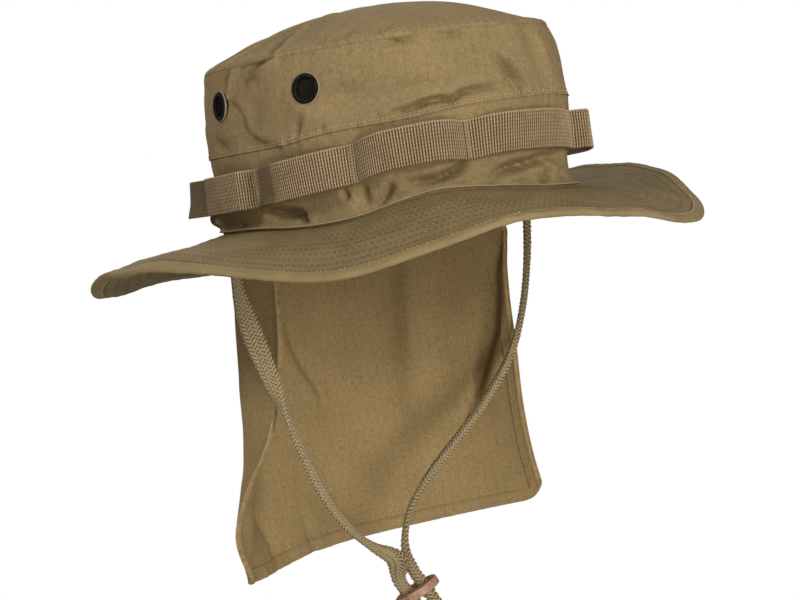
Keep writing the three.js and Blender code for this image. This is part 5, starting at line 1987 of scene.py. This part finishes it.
@dataclass
class Webbing:
    """The webbing band around the crown, tacked down between its loops."""

    width: float = 19.0
    thickness: float = 1.5
    fullness: float = 2.0
    # Half the tacked stretch between two loops, and the tack's zigzag within it, in degrees, with its turns.
    stitch: float = 1.2
    zigzag: float = 0.65
    zigzags: int = 26
    rib: float = 1.4
    rib_height: float = 0.36
    rib_columns: int = 6
    sway: Ripple = Ripple(0.35, 61, (9, 30), 60)
    line: Table = Table(((-165, 22.5), (-94, 24), (-42, 27.8), (-24, 29.2), (0, 30.2), (25, 29.8), (59, 26.2),
                         (94, 21.6), (126, 21)))
    # Loops: the angle they start at, bulge, rise, lean, and the angles over which they rise at their start and end.
    loops: tuple[tuple[float, ...], ...] = (
        (-165, 8.5, -0.5, 2, 12, 12), (-130, 9, 0, -2, 12, 12), (-94.5, 8.5, 0.5, 2, 12, 12), (-59, 7.8, 0, 0, 12, 4),
        (-24, 5.5, 1, 4, 44, 12), (24.5, 9.5, 2.4, 4, 12, 12), (59, 8, -0.5, 2, 12, 17), (93, 8, 0, 0, 1.8, 10),
        (126, 12.5, 0, -2, 12, 12), (163, 8.5, 0.5, 2, 12, 12))
    # How flat the ribs are pressed around the band; where it reaches 1, on the loop at the back, it also darkens the
    # webbing as painted shade.
    pressed: Table = Table(((-170, 0.3), (-60, 0.3), (-50, 0), (79, 0), (81.5, 0.9), (92, 0.9), (93.6, 0), (104, 0),
                            (108, 0.85), (123, 0.85), (127, 1), (150, 1), (175, 0.3)))

    def loop(self, angle: Array) -> tuple[Array, Array, Array, Array]:
        """The bulge, rise and lean at an angle, and the share of them there."""
        table = np.array(self.loops, float)
        starts = table[:, 0]
        ends = np.append(starts[1:], starts[0] + TURN)
        place = starts[0] + np.mod(angle - starts[0], TURN)
        index = np.searchsorted(starts, place, side="right") - 1
        bulge, rise, lean, first, last = np.moveaxis(table[index, 1:], -1, 0)
        rising = np.clip((place - starts[index] - self.stitch) / first, 0, 1)
        falling = np.clip((ends[index] - self.stitch - place) / last, 0, 1)
        swell = (1 - (1 - rising) ** self.fullness) * (1 - (1 - falling) ** self.fullness)
        return bulge, rise, lean, swell

    def face(self, angle: Array, v: Array, lift: Array = 1.5) -> Array:
        """Points of the webbing, v running from its lower edge (0) to its upper one (1)."""
        bulge, rise, lean, swell = self.loop(angle)
        line = self.line.read(angle)
        upright = np.sqrt(1 - (lean / self.width) ** 2 * swell)
        height = line + rise * swell + (v - 0.5) * self.width * upright
        spread = FORM.profile.read(line + self.width / 2)
        ridge = np.maximum(0, FORM.crown_push(angle, height)) * (1 - 0.75 * swell)
        sway = self.sway.at(angle, v * self.width) * swell
        return FORM.oval(angle, spread, FORM.gap + ridge + (bulge + lean * (v - 0.5)) * swell + sway + lift, height)

    def band(self, finish: bpy.types.Material) -> bpy.types.Object:
        """Makes the ribbed band.

        Args:
            finish: The webbing's material.

        Returns:
            The band.
        """
        fine = np.linspace(-165, 195, 7201)
        reach = travelled(self.face(fine, np.full(fine.shape, 0.5)))
        ribs = int(round(reach[-1] / self.rib))
        count = ribs * self.rib_columns
        along = np.arange(count) * reach[-1] / count
        angles = np.interp(along, reach, fine)[:, None]
        front = np.array([0.0, 0.018, 0.05, 0.2, 0.36, 0.5, 0.64, 0.8, 0.95, 0.982, 1.0])
        rounded = np.array([0.75, 0.93, 1, 1, 1, 1, 1, 1, 1, 0.93, 0.75])
        v = np.concatenate([front, front[::-1]])
        lift = np.concatenate([self.thickness / 2 * (1 + rounded), self.thickness / 2 * (1 - rounded[::-1])])
        shape = (len(angles), len(v))
        grid = self.face(np.broadcast_to(angles, shape), np.broadcast_to(v, shape), lift)
        spaced = np.append(along, reach[-1]) / reach[-1] * ribs * self.rib
        place = joined(*np.meshgrid(spaced, np.append(v * self.width, 0.0), indexing="ij"))
        base = tube_piece("webbing_base", grid, place, 70)
        phase = np.repeat((np.arange(count) % self.rib_columns) / self.rib_columns, len(v))
        hold = np.tile([0.5, 0.9] + [1] * 7 + [0.5, 0.1, 0.1, 0.5] + [1] * 7 + [0.9, 0.5], count)
        flat = np.clip(np.repeat(self.pressed.read(angles[:, 0]), len(v)), 0, 1)
        # flat also carries the painted shade of the loop at the back into the material.
        for label, values in (("phase", phase), ("hold", hold * (1 - 0.7 * flat)), ("flat", flat)):
            mark(base.data, label, values)
        w = Weaver("webbing_ribs", finish, {"Rib height": self.rib_height})
        wave = w.minus(w.math("SINE", w.times(w.named("phase", "FLOAT"), math.pi)), 0.6)
        amount = w.times(w.times(wave, w.named("hold", "FLOAT")), w.given("Rib height"))
        offset = w.vector("SCALE", {0: w.out("GeometryNodeInputNormal"), "Scale": amount})
        w.finish(w.out("GeometryNodeSetPosition", {"Geometry": w.given("Geometry"), "Offset": offset}))
        mesh = base.data
        bpy.data.objects.remove(base)
        return keep(w.run("webbing_ribbed_band", mesh), Slot.WEBBING, finish, "webbing_band")

    def tacks(self, thread: bpy.types.Material) -> None:
        """Sews the zigzag that tacks the webbing down between its loops.

        Args:
            thread: The thread.
        """
        rows = StitchRows("webbing_tacks", thread, Slot.WEBBING, 2.6, 0.6, 0.5, 0.12, 9)
        v = np.linspace(0.05, 0.95, self.zigzags)
        sway = self.zigzag * np.where(np.arange(self.zigzags) % 2, 1.0, -1.0)
        for start, *_ in self.loops:
            place = self.face(start + sway, v, 1.62)
            turn = math.radians(start)
            out = unit(np.array([-math.sin(turn) * 1.1, -math.cos(turn) * 0.9, 0.0]))
            rows.places.append((place[1:] + place[:-1]) / 2)
            rows.ways.append(unit(np.diff(place, axis=0)))
            rows.facings.append(np.broadcast_to(out, rows.ways[-1].shape))
        rows.sew()

    def build(self) -> None:
        """Makes the webbing's pieces."""
        self.band(WebbingFinish("ribbed_webbing", rib=self.rib).build())
        self.tacks(YarnFinish("tack_thread", (0.42, 0.32, 0.18), (0.22, 0.165, 0.09)).build())


# ------------------------------------------------------------------------------------------------
# Neck flap


@dataclass
class NeckFlap:
    """The neck flap, hemmed along its sides and its lower edge."""

    columns: int = 160
    rows: int = 97
    # How far in from an edge the rows of corners lie that shape the hem, and where the even ones start.
    hem_rows: tuple[float, ...] = (0, 0.15, 0.4, 0.8, 1.4, 2.0, 2.8, 3.8, 4.8, 5.6, 6.2, 6.7, 7.05, 7.4, 8.0)
    even_rows: float = 9.2
    # The radii of its left and right corners.
    corners: tuple[float, float] = (13.0, 14.0)
    # How far in from the hem's fold its stitches lie, and half the width that its weave is drawn over.
    stitched: float = 1.4
    cloth_scale: float = 130.0

    def rounded(self, across: Array, drop: Array) -> tuple[Array, Array]:
        """The place with the flap's lower corners drawn in to a curve."""
        span = FLAP.half_cloth
        radius = np.where(across > 0, *self.corners)
        x = np.clip(1 - (1 - np.abs(across)) * span / radius, 0, 1)
        y = np.clip(1 - (FLAP.length - drop) / radius, 0, 1)
        moved_x, moved_y = x * np.sqrt(1 - y * y / 2), y * np.sqrt(1 - x * x / 2)
        corner = (x > 0) & (y > 0)
        return (np.where(corner, np.sign(across) * (1 - (1 - moved_x) * radius / span), across),
                np.where(corner, FLAP.length - (1 - moved_y) * radius, drop))

    def thickness(self, across: Array, drop: Array) -> tuple[Array, Array]:
        """How thick the hem makes the cloth, as shares of it at the sides and at the foot."""
        side, foot = (1 - np.abs(across)) * FLAP.half_cloth, FLAP.length - drop
        return smooth((FLAP.hem - side) / 0.7 + 0.5), smooth((FLAP.hem - foot) / 0.7 + 0.5)

    def face(self, across: Array, drop: Array, sign: float) -> Array:
        """The flap's outer face, or with sign -1 its inner one, with its hem's fold and bead.

        Args:
            across: From the wearer's right edge to the left one.
            drop: How far down.
            sign: Which face.

        Returns:
            The points.
        """
        across, drop = self.rounded(across, drop)
        hem = np.maximum(*self.thickness(across, drop))
        extra = FLAP.hem_cloth - FLAP.cloth
        inset, foot = (1 - np.abs(across)) * FLAP.half_cloth, FLAP.length - drop
        bead = 0.5 * bell(inset, 0.9, 1.1) + 0.25 * bell(foot, 0.8, 1.0)
        row = FLAP.hem - self.stitched
        drawn_in = 0.22 * (bell(inset, row, 0.8) + bell(foot, row, 0.8))
        edge = np.clip(np.minimum(inset, foot) / 0.9, 0, 1)
        rounding = 0.35 + 0.65 * np.sqrt(1 - (1 - edge) ** 2)
        inward = extra * (0.9 if sign < 0 else 0.1) * hem
        return FLAP.place(across, drop, sign * (FLAP.cloth / 2 + inward + bead - drawn_in) * rounding)

    def panel(self, cloth: bpy.types.Material) -> bpy.types.Object:
        """Args:
            cloth: The ripstop.

        Returns:
            The flap.
        """
        edge, even = np.array(self.hem_rows) / FLAP.half_cloth, 1 - self.even_rows / FLAP.half_cloth
        us = np.concatenate([-1 + edge, np.linspace(-even, even, self.columns), (1 - edge)[::-1]])
        vs = np.concatenate([np.linspace(0, FLAP.length - self.even_rows, self.rows),
                             FLAP.length - np.array(self.hem_rows)[::-1]])

        def place(across: Array, drop: Array) -> Array:
            """The cloth's own place on the flap."""
            return joined(across * self.cloth_scale, -drop)

        piece = wall_piece("neck_flap_cloth", partial(self.face, sign=1.0), partial(self.face, sign=-1.0),
                           us, vs, False, place)
        keep(piece, Slot.FLAP, cloth, "neck_flap")
        return piece

    def stitches(self, thread: bpy.types.Material) -> None:
        """Sews the hems on both faces.

        Args:
            thread: The thread.
        """
        rows = StitchRows("neck_flap_stitching", thread, Slot.FLAP, 2.1, 0.5, 0.42)
        side, foot = 1 - (FLAP.hem - self.stitched) / FLAP.half_cloth, FLAP.length - FLAP.hem + self.stitched
        along, down = np.linspace(-side, side, 900), np.linspace(4, foot, 700)
        for sign in (1, -1):
            for us, vs in ((along, foot), (-side, down), (side, down)):
                rows.lay(partial(self.face, sign=sign), us, vs, pitch=2.6, lift=0.02, slant=14, flip=-sign)
        rows.sew()

    def build(self) -> None:
        """Makes the flap's pieces."""
        thread = YarnFinish("flap_thread", (0.34, 0.26, 0.14), (0.17, 0.13, 0.07)).build()
        self.stitches(thread)
        # The flap's ripstop is the crown's cloth in a brighter, warmer colour: painted light, for the warm light
        # bounced onto it under the brim.
        self.panel(RipstopFinish("flap_ripstop_cloth", (0.352, 0.240, 0.106), (0.316, 0.220, 0.097),
                                 (0.110, 0.074, 0.032), contrast=0.6).build())


# ------------------------------------------------------------------------------------------------
# Studio


@dataclass(frozen=True)
class Lamp:
    """A round area light that faces the hat from a direction given as the camera's is, in degrees."""

    name: str
    azimuth: float
    elevation: float
    watts: float
    size: float
    reach: float = 1.8

    def hang(self) -> None:
        """Hangs the light."""
        a, e = math.radians(self.azimuth), math.radians(self.elevation)
        spot = Vector((math.sin(a) * math.cos(e), -math.cos(a) * math.cos(e), math.sin(e))) * self.reach
        data = bpy.data.lights.new(self.name, "AREA")
        data.energy, data.size, data.shape = self.watts, self.size, "DISK"
        facing = spot.to_track_quat("Z", "Y").to_matrix().to_4x4()
        linked(self.name, data).matrix_world = Matrix.Translation(spot) @ facing


@dataclass
class Studio:
    """The camera, a pale floor and soft light from the camera's right."""

    azimuth: float = -43.0
    distance: float = 1.060
    eye_height: float = 0.005
    down: float = 2.71
    aside: float = -0.27
    roll: float = 8.0
    lens: float = 91.9
    floor: float = -0.30
    floor_reach: float = 8.0
    ambient: float = 0.3
    lamps: tuple[Lamp, ...] = (
        Lamp("key", -7, 11, 18, 0.6), Lamp("fill", -87, 40, 8.5, 0.4), Lamp("bounce", -32, -11, 7.5, 0.3, 1.3),
        Lamp("overhead", -40, 70, 3, 1.2), Lamp("side", -118, 38, 4, 0.6), Lamp("rear", 150, 30, 12, 1.2))

    def camera(self) -> None:
        """Stands the camera up."""
        turn = math.radians(self.azimuth)
        back = Vector((math.sin(turn), -math.cos(turn), 0.0))
        beside = Vector((math.cos(turn), math.sin(turn), 0.0))
        spot = back * self.distance + Vector((0, 0, self.eye_height))
        look = (-back - Vector((0, 0, math.tan(math.radians(self.down)))) + beside * math.tan(math.radians(self.aside)))
        look.normalize()
        right = look.cross(Vector((0, 0, 1))).normalized()
        up = right.cross(look)
        cos, sin = math.cos(math.radians(self.roll)), math.sin(math.radians(self.roll))
        right, up = right * cos - up * sin, up * cos + right * sin
        data = bpy.data.cameras.new("camera")
        data.lens, data.sensor_width, data.clip_end = self.lens, 36.0, 50.0
        camera = linked("camera", data)
        camera.matrix_world = Matrix.Translation(spot) @ Matrix((right, up, -look)).transposed().to_4x4()
        bpy.context.scene.camera = camera

    def room(self) -> None:
        """Lays the floor and lights the room."""
        mesh = bpy.data.meshes.new("studio_floor")
        reach = self.floor_reach
        mesh.from_pydata([(x * reach, y * reach, self.floor) for x, y in ((-1, -1), (1, -1), (1, 1), (-1, 1))],
                         [], [(0, 1, 2, 3)])
        pale = bpy.data.materials.new("pale_floor")
        pale.use_nodes = True
        pale.node_tree.nodes.clear()
        tree = Tree(pale.node_tree)
        seen = tree.add("ShaderNodeLightPath").outputs["Is Camera Ray"]
        dull = tree.out("ShaderNodeBsdfDiffuse", {0: (0.5, 0.5, 0.5)})
        mixed = tree.out("ShaderNodeMixShader", {0: seen, 1: dull, 2: tree.out("ShaderNodeEmission")})
        tree.add("ShaderNodeOutputMaterial", {0: mixed})
        mesh.materials.append(pale)
        linked("studio_floor", mesh)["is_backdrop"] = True
        world = bpy.data.worlds.new("studio")
        world.use_nodes = True
        tree = Tree(world.node_tree)
        seen = tree.add("ShaderNodeLightPath").outputs["Is Camera Ray"]
        backdrop = next(n for n in tree.tree.nodes if n.type == "BACKGROUND")
        tree.join((1, 1, 1), backdrop.inputs[0])
        tree.join(tree.out("ShaderNodeMapRange", {0: seen, 3: self.ambient, 4: 1.0}), backdrop.inputs[1])
        bpy.context.scene.world = world
        bpy.context.scene.view_settings.view_transform = "Standard"
        for lamp in self.lamps:
            lamp.hang()


def corners() -> list[list[float]]:
    """The object's box as plain lists."""
    return [[float(number) for number in corner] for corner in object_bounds()]


def main() -> None:
    """Builds the hat, piece by piece, and the room around it."""
    logging.basicConfig(level=logging.INFO, format="%(name)s: %(message)s")
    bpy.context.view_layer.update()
    studio = Studio()
    studio.camera()
    for part in (ChinCord(), Crown(), Eyelets(), Brim(), Webbing(), NeckFlap()):
        LOG.info("building %s", type(part).__name__)
        part.build()
    studio.room()


if __name__ == "__main__":
    main()
